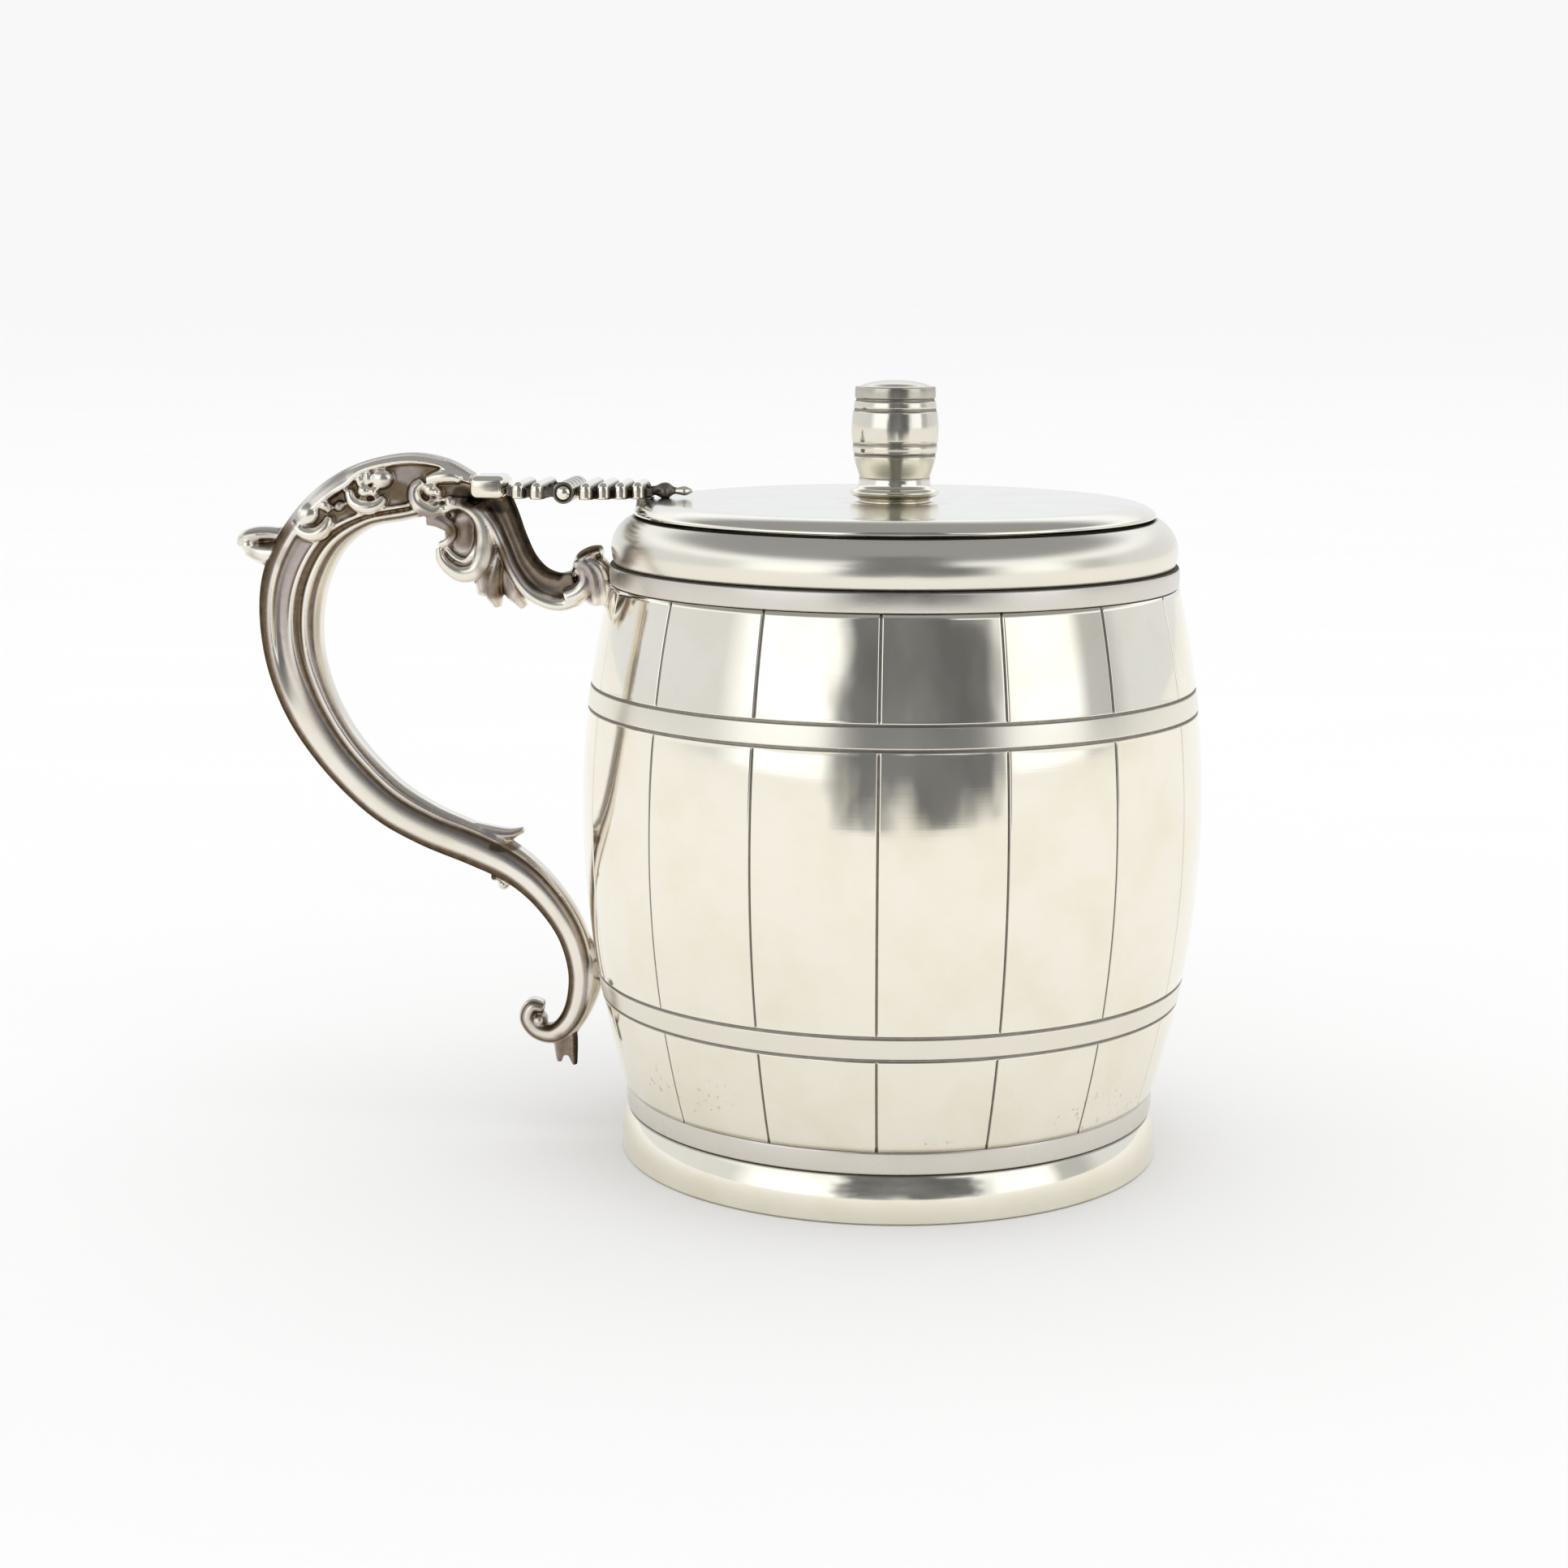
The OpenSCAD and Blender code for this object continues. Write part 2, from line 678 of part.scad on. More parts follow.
module bracket_leaf() {
    color(aged)
        side_plate(
            concat(
                [for (i = [bracket_leaf_rows[0]:bracket_leaf_rows[1]]) beside(bracket_path, i, seat_share)],
                smooth([for (p = bracket_leaf_tips) bracket_place(p[0], p[1])], curve_steps)
            ),
            leaf_plate_t
        );
}

module bracket_terminal() {
    color(aged)
        difference() {
            side_plate(
                closed(
                    [for (p = terminal_points) bracket_place(bracket_end[0] + p[0], bracket_end[1] - p[1])],
                    curve_steps
                ),
                bracket_t
            );
            body_form();
        }
}

module hinge_block() {
    color(silver)
        side_plate(
            [
                [block_x, block_z], [block_x + block_l, block_z],
                [block_x + block_l, block_z + block_h - block_bevel],
                [block_x + block_l - block_bevel, block_z + block_h],
                [block_x + block_bevel, block_z + block_h], [block_x, block_z + block_h - block_bevel]
            ],
            block_w
        );
}

// Places along the pin of the knuckles that belong to one leaf
function knuckle_starts(first) =
    [for (i = [first:2:knuckle_count - 1]) -hinge_w / 2 + i * (knuckle_l + knuckle_gap)];

module along_pin(y, l, r) {
    translate([pin_x, y, pin_z])
        rotate([-90, 0, 0])
            cylinder(h = l, r = r, $fn = round_fn);
}

// Domed lobe at the edge of a leaf
module lobe() {
    dome_r = cap_r(lobe_r, lobe_dome);
    intersection() {
        cylinder(h = leaf_t + lobe_dome, r = lobe_r, $fn = small_fn);
        translate([0, 0, leaf_t + lobe_dome - dome_r])
            sphere(dome_r, $fn = round_fn);
    }
}

// Hinge leaf that points along +X from the pin, with a lobed edge and ribs from lobe to lobe
module leaf_plate(outline, lobes) {
    linear_extrude(leaf_t)
        polygon(concat(outline, [for (i = [len(outline) - 1:-1:0]) [outline[i][0], -outline[i][1]]]));
    for (at = lobes) {
        for (side = [-1, 1])
            translate([at[0], side * at[1], 0])
                lobe();
        translate([at[0], at[1], leaf_t + rib_rise - rib_r])
            rotate([90, 0, 0])
                cylinder(h = 2 * at[1], r = rib_r, $fn = round_fn);
    }
}

module hinge_leaf(first, bore_r) {
    difference() {
        union() {
            difference() {
                translate([pin_x, 0, leaf_z])
                    children();
                for (y = knuckle_starts(1 - first))
                    along_pin(y - knuckle_gap, knuckle_l + 2 * knuckle_gap, knuckle_r + leaf_clear);
            }
            for (y = knuckle_starts(first))
                along_pin(y, knuckle_l, knuckle_r);
        }
        along_pin(-hinge_w, 2 * hinge_w, bore_r);
    }
}

module handle_hinge_leaf() {
    color(silver)
        hinge_leaf(0, pin_r + pin_seat)
            mirror([1, 0, 0])
                leaf_plate(
                    [[0, leaf_half_w], [first_lobe, leaf_half_w], [handle_leaf_l, block_w / 2]],
                    lobe_row(handle_lobes, handle_narrowing)
                );
}

module lid_hinge_leaf() {
    lobes = lobe_row(lid_lobes, lid_narrowing);
    neck = lobes[lid_lobes - 1];
    color(silver)
        hinge_leaf(1, pin_r + pin_clear)
            leaf_plate(
                [
                    [0, leaf_half_w], [first_lobe, leaf_half_w], neck,
                    neck + [2 * lobe_r, -lobe_r / 2], [lid_leaf_l - lobe_r, lobe_r], [lid_leaf_l, leaf_tip_r]
                ],
                lobes
            );
}

module hinge_pin() {
    dome_r = cap_r(pin_r, pin_dome);
    color(silver)
        translate([pin_x, 0, pin_z])
            rotate([90, 0, 0])
                rotate_extrude($fn = round_fn)
                    intersection() {
                        union() {
                            translate([0, -hinge_w / 2])
                                square([pin_r, hinge_w]);
                            for (side = [-1, 1])
                                translate([0, side * (hinge_w / 2 + pin_dome - dome_r)])
                                    circle(dome_r, $fn = round_fn);
                        }
                        translate([0, -hinge_w])
                            square([pin_r, 2 * hinge_w]);
                    }
}

module hinge_post() {
    color(silver)
        translate([post_x, 0, border_z])
            cylinder(h = leaf_z - border_z, r = post_r, $fn = round_fn);
}

module lid() {
    hole_r = stud_r + stud_clear;
    edge_r = lid_r - lid_t / 2;
    color(silver)
        rotate_extrude($fn = fine) {
            polygon([
                [hole_r, lid_z], [edge_r, lid_z], [edge_r, border_z], [lid_r - lid_border, border_z],
                [finial_foot_r, lid_top_z], [hole_r, lid_top_z]
            ]);
            translate([edge_r, lid_z + lid_t / 2])
                circle(lid_t / 2, $fn = small_fn);
        }
}

module lid_bezel() {
    color(silver)
        rotate_extrude($fn = fine)
            band(lid_z - bezel_h, bezel_h, bezel_r - bezel_t, bezel_r);
}

module finial_base() {
    flange_z = lid_top_z + finial_foot_h;
    round_r = finial_flange_h / 2;
    color(silver)
        rotate_extrude($fn = fine)
            difference() {
                union() {
                    band(lid_top_z, finial_foot_h, 0, finial_foot_r);
                    band(flange_z, finial_flange_h, 0, finial_flange_r - round_r);
                    translate([finial_flange_r - round_r, flange_z + round_r])
                        circle(round_r, $fn = small_fn);
                    band(finial_z - finial_waist_h, finial_waist_h, 0, finial_waist_r);
                }
                band(lid_top_z - eps, finial_z - lid_top_z + 2 * eps, -finial_r, stud_r + stud_clear);
            }
}

module finial_barrel() {
    top_z = finial_z + finial_h;
    dome_r = cap_r(finial_top_r, finial_dome);
    color(silver)
        rotate_extrude($fn = fine)
            difference() {
                union() {
                    intersection() {
                        translate([finial_r - finial_arc_r, finial_z + finial_belly_rise])
                            circle(finial_arc_r, $fn = arc_fn);
                        band(finial_z, finial_h, 0, finial_r);
                    }
                    band(top_z - finial_band_h, finial_band_h, 0, finial_band_r);
                    intersection() {
                        translate([0, top_z + finial_dome - dome_r])
                            circle(dome_r, $fn = fine);
                        band(top_z - eps, finial_dome + 2 * eps, 0, finial_top_r);
                    }
                }
                for (rise = finial_lines)
                    translate([finial_stave_r(rise), finial_z + rise])
                        circle(finial_line_d, $fn = small_fn);
                band(finial_z - eps, stud_grip + stud_clear, -finial_r, stud_r + stud_clear);
            }
}

module finial_stud() {
    foot_z = lid_z - nut_h - stud_proud;
    color(silver)
        translate([0, 0, foot_z])
            cylinder(h = finial_z + stud_grip - foot_z, r = stud_r, $fn = round_fn);
}

module finial_nut() {
    color(silver)
        translate([0, 0, lid_z - nut_h])
            difference() {
                cylinder(h = nut_h, r = nut_r, $fn = hex_fn);
                translate([0, 0, -eps])
                    cylinder(h = nut_h + 2 * eps, r = stud_r + stud_clear, $fn = round_fn);
            }
}

barrel_body();
base_plate();
foot_ring();
foot_wire();
collar_hoop();
neck_band();
liner_seat();
glass_liner();
handle_scroll();
handle_tail();
tail_leaf();
scroll_spur();
handle_volute();
handle_bud();
scroll_curls();
handle_bracket();
bracket_leaf();
bracket_terminal();
hinge_block();
handle_hinge_leaf();
hinge_pin();
lid_hinge_leaf();
hinge_post();
lid();
lid_bezel();
finial_base();
finial_barrel();
finial_stud();
finial_nut();
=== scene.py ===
import json
import math

import bmesh
import bpy
import numpy as np
from mathutils import Matrix, Vector

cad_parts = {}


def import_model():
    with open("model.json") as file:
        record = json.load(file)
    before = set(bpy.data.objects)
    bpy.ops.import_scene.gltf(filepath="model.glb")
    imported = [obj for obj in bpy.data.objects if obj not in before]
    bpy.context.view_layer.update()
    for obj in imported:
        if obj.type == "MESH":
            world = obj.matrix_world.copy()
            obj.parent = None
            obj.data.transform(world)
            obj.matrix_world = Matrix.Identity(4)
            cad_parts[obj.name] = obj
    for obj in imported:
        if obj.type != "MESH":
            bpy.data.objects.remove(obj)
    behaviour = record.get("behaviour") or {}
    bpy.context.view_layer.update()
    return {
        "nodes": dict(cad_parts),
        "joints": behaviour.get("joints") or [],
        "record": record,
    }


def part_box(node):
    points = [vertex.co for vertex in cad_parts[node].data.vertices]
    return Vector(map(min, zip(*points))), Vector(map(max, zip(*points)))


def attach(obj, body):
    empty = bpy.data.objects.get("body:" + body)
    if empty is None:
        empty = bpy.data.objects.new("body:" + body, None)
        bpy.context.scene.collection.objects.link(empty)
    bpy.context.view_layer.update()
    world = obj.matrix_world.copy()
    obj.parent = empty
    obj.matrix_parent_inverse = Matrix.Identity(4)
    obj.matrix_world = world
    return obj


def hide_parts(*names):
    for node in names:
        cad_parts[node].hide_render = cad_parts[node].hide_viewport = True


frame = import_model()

MM = 0.001
TURN = 360
SMALL_TURN = 48


def edges_of(node):
    """A node's box in millimetres: widest radius, lowest and highest height."""
    low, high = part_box(node)
    return max(high.y, -low.y) / MM, low.z / MM, high.z / MM


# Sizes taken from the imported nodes, in millimetres
belly_r, barrel_z, collar_z = edges_of("barrel_body")
foot_r, _, wire_z = edges_of("foot_ring")
wire_r, _, _ = edges_of("foot_wire")
collar_r, _, neck_z = edges_of("collar_hoop")
neck_r, _, rim_z = edges_of("neck_band")
lid_r, lid_z, lid_top_z = edges_of("lid")
liner_r, liner_z, liner_top_z = edges_of("glass_liner")
_, finial_z, finial_top_z = edges_of("finial_barrel")
flange_r, flange_z, _ = edges_of("finial_base")
finial_foot_r = flange_r - 1.0
pin_x, _, pin_z = (value / MM for value in frame["joints"][0]["pos_m"])
block_low, block_high = (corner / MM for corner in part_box("hinge_block"))

# Sizes of the barrel's curve and engraving
BELLY_Z = 34.0
STAVE_ARC_R = 92.0
WALL = 0.9
STAVES = 16
LINE_W = 0.28
LINE_D = 0.15
HOOP_LINE_W = 0.2
STAVE_FLAT = 0.035
HOOPS = ((16.1, 18.3), (44.5, 46.7))
HOOP_LINES = [line for hoop in HOOPS for line in hoop]
HOOP_SATIN = 0.75
ROW_STEP = 0.55
STAVE_COLUMNS = 25


# Curves and meshes

def spline(points, steps, loop=False):
    """Catmull-Rom curve through rows of numbers, with this many steps between rows."""
    rows = np.asarray(points, float)
    if loop:
        padded = np.vstack([rows[-1:], rows, rows[:2]])
    else:
        padded = np.vstack([2 * rows[0] - rows[1], rows, 2 * rows[-1] - rows[-2]])
    t = (np.arange(steps) / steps)[:, None]
    pieces = []
    for a, b, c, d in zip(padded, padded[1:], padded[2:], padded[3:]):
        slope, bend, twist = c - a, 2 * a - 5 * b + 4 * c - d, 3 * b - a - 3 * c + d
        pieces.append((2 * b + slope * t + bend * t**2 + twist * t**3) / 2)
    if not loop:
        pieces.append(rows[-1:])
    return np.vstack(pieces)


def smoothstep(low, high, value):
    """0 at low and 1 at high, with a soft start and end; low may be the greater."""
    t = np.clip((value - low) / (high - low), 0, 1)
    return t * t * (3 - 2 * t)


def within(values, low, high, fade):
    """1 between low and high, falling to 0 at both over a fade inside them."""
    return smoothstep(low, low + fade, values) * (1 - smoothstep(high - fade, high, values))


def ring_angles(count):
    """Even angles round a full turn."""
    return np.linspace(0, 2 * math.pi, count, endpoint=False)


def arc(centre, radius, start, stop, steps):
    """Points on a circle in the section plane, angles in degrees."""
    angle = np.radians(np.linspace(start, stop, steps))
    return np.column_stack([centre[0] + radius * np.cos(angle), centre[1] + radius * np.sin(angle)])


def grid_faces(rows, columns, loop_rows):
    """Quads over a grid of vertices whose columns close into a ring."""
    i, j = np.meshgrid(np.arange(rows if loop_rows else rows - 1), np.arange(columns), indexing="ij")
    up, side = (i + 1) % rows, (j + 1) % columns
    quads = np.stack([i * columns + j, i * columns + side, up * columns + side, up * columns + j], -1)
    return quads.reshape(-1, 4).tolist()


def add_object(name, data):
    """Object from data, linked to the scene."""
    piece = bpy.data.objects.new(name, data)
    bpy.context.scene.collection.objects.link(piece)
    return piece


def add_marks(mesh, marks):
    """Writes each named mark as one value per vertex."""
    for key, values in marks.items():
        layer = mesh.attributes.new(key, "FLOAT", "POINT")
        layer.data.foreach_set("value", np.asarray(values, np.float32).ravel())


def finish_mesh(name, verts, faces, marks=None, merge=False):
    """Object from vertices in millimetres, smooth, with outward normals and its marks as attributes."""
    mesh = bpy.data.meshes.new(name)
    mesh.from_pydata((np.asarray(verts) * MM).tolist(), [], faces)
    add_marks(mesh, marks or {})
    bm = bmesh.new()
    bm.from_mesh(mesh)
    if merge:
        bmesh.ops.remove_doubles(bm, verts=bm.verts, dist=1e-7)
    bmesh.ops.recalc_face_normals(bm, faces=bm.faces)
    bm.to_mesh(mesh)
    bm.free()
    mesh.shade_smooth()
    return add_object(name, mesh)


def lathe(name, section, dark=None, satin=None, angles=None, shape=None, loop=True):
    """Turned piece from a section of radius and height, with marks of tarnish and painted shade, and satin
    marks, along it.
    """
    section = np.asarray(section, float)
    count = len(section)
    angles = ring_angles(TURN) if angles is None else angles
    radius = np.repeat(section[:, :1], len(angles), 1)
    height = np.repeat(section[:, 1:], len(angles), 1)
    marks = {}
    for key, values in (("tarnish", dark), ("satin", satin)):
        values = np.zeros(count) if values is None else np.asarray(values, float)
        marks[key] = np.repeat(values[:, None], len(angles), 1)
    if shape:
        radius, height = shape(radius, height, angles, marks)
    verts = np.stack([radius * np.cos(angles), radius * np.sin(angles), height], -1).reshape(-1, 3)
    return finish_mesh(name, verts, grid_faces(count, len(angles), loop), marks, merge=not loop)


def dense(points, step, loop=True):
    """The same outline with points no further apart than step."""
    points = np.asarray(points, float)
    ends = np.roll(points, -1, axis=0) if loop else points[1:]
    out = []
    for a, b in zip(points, ends):
        count = max(1, math.ceil(np.linalg.norm(b - a) / step))
        out.extend(a + (b - a) * k / count for k in range(count))
    if not loop:
        out.append(points[-1])
    return np.array(out)


def near_lines(heights, lines, half):
    """1 on the lines and 0 further than half from them."""
    gap = np.min(np.abs(np.asarray(heights)[:, None] - np.asarray(lines)[None, :]), axis=1)
    return 1 - smoothstep(0.45 * half, half, gap)


# Cast work: lumps of clay that are joined into one skin

def directions(path):
    """Unit directions along a path."""
    way = np.gradient(path, axis=0)
    return way / np.linalg.norm(way, axis=1, keepdims=True)


def swept(path, sections):
    """Lump along a path of x, z, width and thickness, from sections of shares across and through."""
    path = np.asarray(path, float)
    way = directions(path[:, :2])
    rings = []
    for row, d, section in zip(path, way, sections):
        across = section[:, 0] * row[2]
        x, z = row[0] + d[1] * across, row[1] - d[0] * across
        rings.append(np.column_stack([x, section[:, 1] * row[3], z]))
    return closed_tube(rings)


def closed_tube(rings):
    """Lump from rings of points, with flat ends."""
    count, sides = len(rings), len(rings[0])
    faces = grid_faces(count, sides, False)
    faces.append(list(range(sides))[::-1])
    faces.append([(count - 1) * sides + k for k in range(sides)])
    return np.vstack(rings), faces


def tube(points, steps=8, sides=14, flat=1.0):
    """Round lump along points of x, y, z and radius; flat scales it in y."""
    rows = spline(points, steps)
    way = directions(rows[:, :3])
    turn = ring_angles(sides)
    rings = []
    for row, d in zip(rows, way):
        side = np.cross(d, (0.0, 1.0, 0.0))
        side /= np.linalg.norm(side)
        over = np.cross(side, d) * flat
        rings.append(row[:3] + row[3] * (np.cos(turn)[:, None] * side + np.sin(turn)[:, None] * over))
    return closed_tube(rings)


def taken(bm):
    """Lump from a bmesh, which is freed."""
    bm.verts.index_update()
    lump = np.array([v.co for v in bm.verts]), [[v.index for v in f.verts] for f in bm.faces]
    bm.free()
    return lump


def bead(centre, radii, tilt=0.0):
    """Ellipsoid lump, tilted in the handle's plane by degrees."""
    bm = bmesh.new()
    bmesh.ops.create_uvsphere(bm, u_segments=20, v_segments=14, radius=1)
    lean = Matrix.Rotation(math.radians(-tilt), 4, "Y")
    bm.transform(Matrix.Translation(centre) @ lean @ Matrix.Diagonal((*radii, 1)))
    return taken(bm)


def slab(outline, low, high):
    """Prism over an outline in x and y."""
    outline = np.asarray(outline, float)
    rings = [np.column_stack([outline, np.full(len(outline), z)]) for z in (low, high)]
    return closed_tube(rings)


def both_sides(lump):
    """A lump and its mirror image on the far side of the handle."""
    verts, faces = lump
    return [lump, (verts * (1, -1, 1), [face[::-1] for face in faces])]


def neighbour_mean(values, ends, degree):
    """Mean of each vertex's neighbours."""
    sums = np.stack([
        np.bincount(ends[:, 0], values[ends[:, 1], k], len(values))
        + np.bincount(ends[:, 1], values[ends[:, 0], k], len(values))
        for k in range(values.shape[1])
    ], 1)
    return sums / degree[:, None]


def read(items, key, width, kind=float):
    """Values of a mesh's vertices or edges, one row each."""
    values = np.empty(len(items) * width, kind)
    items.foreach_get(key, values)
    return values.reshape(-1, width)


def remeshed(name, lumps, voxel):
    """Points, edge ends and polygons of one skin round all lumps."""
    verts, faces, base = [], [], 0
    for points, polygons in lumps:
        verts.append(points)
        faces.extend([[base + k for k in polygon] for polygon in polygons])
        base += len(points)
    clay = bpy.data.meshes.new(name + "_clay")
    clay.from_pydata(np.vstack(verts).tolist(), [], faces)
    holder = add_object(name + "_clay", clay)
    skin = holder.modifiers.new("skin", "REMESH")
    skin.mode = "VOXEL"
    skin.voxel_size = voxel
    shaped = holder.evaluated_get(bpy.context.evaluated_depsgraph_get()).to_mesh()
    points = read(shaped.vertices, "co", 3)
    ends = read(shaped.edges, "vertices", 2, np.int64)
    polygons = [list(face.vertices) for face in shaped.polygons]
    holder.to_mesh_clear()
    bpy.data.objects.remove(holder)
    bpy.data.meshes.remove(clay)
    return points, ends, polygons


SOFTENING = (0.5, -0.52, 0.5)
BLUR_STOPS = (10, 30, 60)
SUNK_TARNISH = 0.3


def hollows(points, normals, ends, degree, depth):
    """How far each point lies below its blurred surroundings, as a share of depth."""
    blurred = points
    hollow = np.zeros(len(points))
    for turn in range(1, BLUR_STOPS[-1] + 1):
        blurred = neighbour_mean(blurred, ends, degree)
        if turn in BLUR_STOPS:
            below = np.einsum("ij,ij->i", blurred - points, normals)
            hollow = np.maximum(hollow, below / depth)
    return neighbour_mean(hollow[:, None], ends, degree)[:, 0]


def cast(name, lumps, voxel, soften, depth, sunk_at, paint):
    """One smooth skin round all lumps, with its hollows marked as tarnish and then painted over with more
    tarnish, painted shade and painted highlights.
    """
    points, ends, polygons = remeshed(name, lumps, voxel)
    degree = np.bincount(ends.ravel(), minlength=len(points)).astype(float)
    for push in SOFTENING * soften:
        points = points + push * (neighbour_mean(points, ends, degree) - points)
    piece = finish_mesh(name, points, polygons)
    normals = read(piece.data.vertices, "normal", 3)
    hollow = hollows(points, normals, ends, degree, depth)
    sideways = smoothstep(0.5, 0.8, np.abs(normals[:, 1]))
    sunk = smoothstep(sunk_at, 0.6 * sunk_at, np.abs(points[:, 1])) * sideways
    dark = paint(points, normals, np.clip(np.maximum(hollow, SUNK_TARNISH * sunk), 0, 1))
    add_marks(piece.data, {"tarnish": np.clip(dark, 0, 1), "satin": np.zeros(len(points))})
    return piece


# Materials

class Nodes:
    """Short hand for building a node tree."""

    def __init__(self, owner):
        owner.use_nodes = True
        self.tree = owner.node_tree
        self.tree.nodes.clear()

    def add(self, kind, inputs=None, **settings):
        node = self.tree.nodes.new("ShaderNode" + kind)
        for key, value in settings.items():
            setattr(node, key, value)
        for key, value in (inputs or {}).items():
            self.set(node, key, value)
        return node

    def set(self, node, key, value):
        if isinstance(value, bpy.types.NodeSocket):
            self.tree.links.new(value, node.inputs[key])
        else:
            node.inputs[key].default_value = value

    def math(self, operation, a, b=0.0, clamp=False):
        return self.add("Math", {0: a, 1: b}, operation=operation, use_clamp=clamp).outputs[0]

    def mix(self, share, a, b):
        return self.add("Mix", {"Factor": share, 6: a, 7: b}, data_type="RGBA").outputs[2]

    def ramp(self, value, stops):
        node = self.add("ValToRGB", {0: value})
        ramp = node.color_ramp
        while len(ramp.elements) < len(stops):
            ramp.elements.new(0.5)
        for element, (place, colour) in zip(ramp.elements, stops):
            element.position = place
            element.color = (*colour, 1)
        return node.outputs[0]

    def range(self, value, low, high, to_low=0.0, to_high=1.0):
        return self.add("MapRange", {0: value, 1: low, 2: high, 3: to_low, 4: to_high}).outputs[0]

    def noise(self, vector, scale, detail=3.0, rough=0.5):
        inputs = {"Vector": vector, "Scale": scale, "Detail": detail, "Roughness": rough}
        return self.add("TexNoise", inputs).outputs["Fac"]

    def place(self, stretch=(1, 1, 1)):
        coordinates = self.add("TexCoord").outputs["Object"]
        return self.add("Mapping", {"Vector": coordinates, "Scale": stretch}).outputs[0]

    def surface(self, shader, kind="Material"):
        self.add("Output" + kind, {"Surface": shader.outputs[0]})


CLOUD_SCALE = 160.0
FINE_SCALE = 1500.0
PATCH_SCALE = 70.0
SCRATCH_STRETCH = (60.0, 60.0, 2600.0)
SPECK_Z = (6.9, 8.0, 14.0)
FILM_TINT = (0.9, 0.86, 0.75)
FROST_TINT = (0.9, 0.9, 0.9)
SATIN_ROUGH = 0.2


def tinted(tone, tint):
    """Opaque colour of a tone under a tint."""
    return (*(a * b for a, b in zip(tone, tint)), 1)


def speckled(n, place, strength):
    """Patches of small dark specks low on the barrel."""
    height = n.add("SeparateXYZ", {0: place}).outputs[2]
    fade_in, full, fade_out = (z * MM for z in SPECK_Z)
    fall, rise = n.range(height, full, fade_out, 1.0, 0.0), n.range(height, fade_in, full)
    low = n.math("MULTIPLY", fall, rise)
    spots = n.range(n.noise(place, FINE_SCALE, 3.0), 0.6, 0.72, 0.0, strength)
    patch = n.range(n.noise(place, PATCH_SCALE, 2.0), 0.56, 0.64)
    return n.math("MULTIPLY", n.math("MULTIPLY", spots, patch), low)


def silver(name, tone, patina, gloss, dullness, stain, brushed, specks=0.0):
    """Silver with clouding, fine scratches, satin zones, tarnish and painted shade from brown to dark, and a
    few specks.
    """
    material = bpy.data.materials.new(name)
    n = Nodes(material)
    place = n.place()
    cloud = n.noise(place, CLOUD_SCALE, 4.0, 0.6)
    fine = n.noise(place, FINE_SCALE, 2.0)
    scratch = n.noise(n.place(SCRATCH_STRETCH), 1.0, 3.0, 0.6)
    # The mark read here holds real tarnish, and also painted shade on some parts.
    mark = n.add("Attribute", attribute_name="tarnish").outputs["Fac"]
    satin = n.add("Attribute", attribute_name="satin").outputs["Fac"]
    uneven = n.range(fine, 0.3, 0.7, -0.06, 0.06)
    dark = n.math("ADD", mark, n.math("MULTIPLY", uneven, mark), clamp=True)
    if specks:
        dark = n.math("MAXIMUM", dark, speckled(n, place, specks))
    film = n.math("MULTIPLY", n.range(cloud, 0.42, 0.78), stain)
    warm = n.mix(film, (*tone, 1), tinted(tone, FILM_TINT))
    frosted = n.mix(satin, warm, tinted(tone, FROST_TINT))
    deep = n.ramp(dark, list(zip((0.4, 0.7, 1.0), patina)))
    colour = n.mix(n.range(dark, 0.04, 0.4), frosted, deep)
    rough = n.range(cloud, 0.3, 0.7, gloss * 0.75, gloss * 1.3)
    rough = n.math("ADD", rough, n.math("MULTIPLY", satin, SATIN_ROUGH))
    rough = n.math("ADD", rough, n.math("MULTIPLY", dark, dullness), clamp=True)
    bump = n.add("Bump", {"Strength": brushed, "Distance": 0.00002, "Height": scratch}).outputs[0]
    rim = n.mix(dark, (1.0, 1.0, 1.0, 1), (0.3, 0.27, 0.23, 1))
    shader = n.add("BsdfPrincipled", {
        "Base Color": colour, "Metallic": 1.0, "Roughness": rough, "Normal": bump, "Specular Tint": rim
    })
    n.surface(shader)
    return material


def blue_glass():
    """Deep blue glass with a slight ripple."""
    material = bpy.data.materials.new("blue_glass")
    n = Nodes(material)
    ripple = n.noise(n.place(), 220.0, 2.0)
    tint = n.mix(ripple, (0.035, 0.07, 0.42, 1), (0.05, 0.1, 0.5, 1))
    bump = n.add("Bump", {"Strength": 0.15, "Distance": 0.0001, "Height": ripple}).outputs[0]
    shader = n.add("BsdfPrincipled", {
        "Base Color": tint, "Roughness": 0.03, "IOR": 1.5, "Transmission Weight": 0.9, "Normal": bump
    })
    n.surface(shader)
    return material


SILVER_TONE = (0.905, 0.86, 0.745)
SATIN_TONE = (0.74, 0.7, 0.635)
AGED_TONE = (0.88, 0.83, 0.74)
GREY_PATINA = ((0.42, 0.39, 0.34), (0.22, 0.195, 0.165), (0.05, 0.04, 0.032))
BROWN_PATINA = ((0.43, 0.375, 0.345), (0.2, 0.145, 0.09), (0.04, 0.034, 0.028))
SLOTS = {
    "polished_silver": silver("polished_silver", SILVER_TONE, GREY_PATINA, 0.075, 0.4, 0.5, 0.06, 0.4),
    "satin_silver": silver("satin_silver", SATIN_TONE, GREY_PATINA, 0.2, 0.3, 0.4, 0.015),
    "aged_silver": silver("aged_silver", AGED_TONE, BROWN_PATINA, 0.2, 0.2, 0.5, 0.03),
    "blue_glass": blue_glass()
}


def dress(piece, body, slot, *nodes):
    """Gives a piece its material, body and slot, and the nodes that it stands for."""
    piece.data.materials.clear()
    piece.data.materials.append(SLOTS[slot])
    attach(piece, body)
    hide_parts(*nodes)


def turned(name, node, section, body="pot_body", slot="polished_silver", **how):
    """Turned piece that stands for one node."""
    dress(lathe(name, section, **how), body, slot, node)


# Turned pieces of the pot

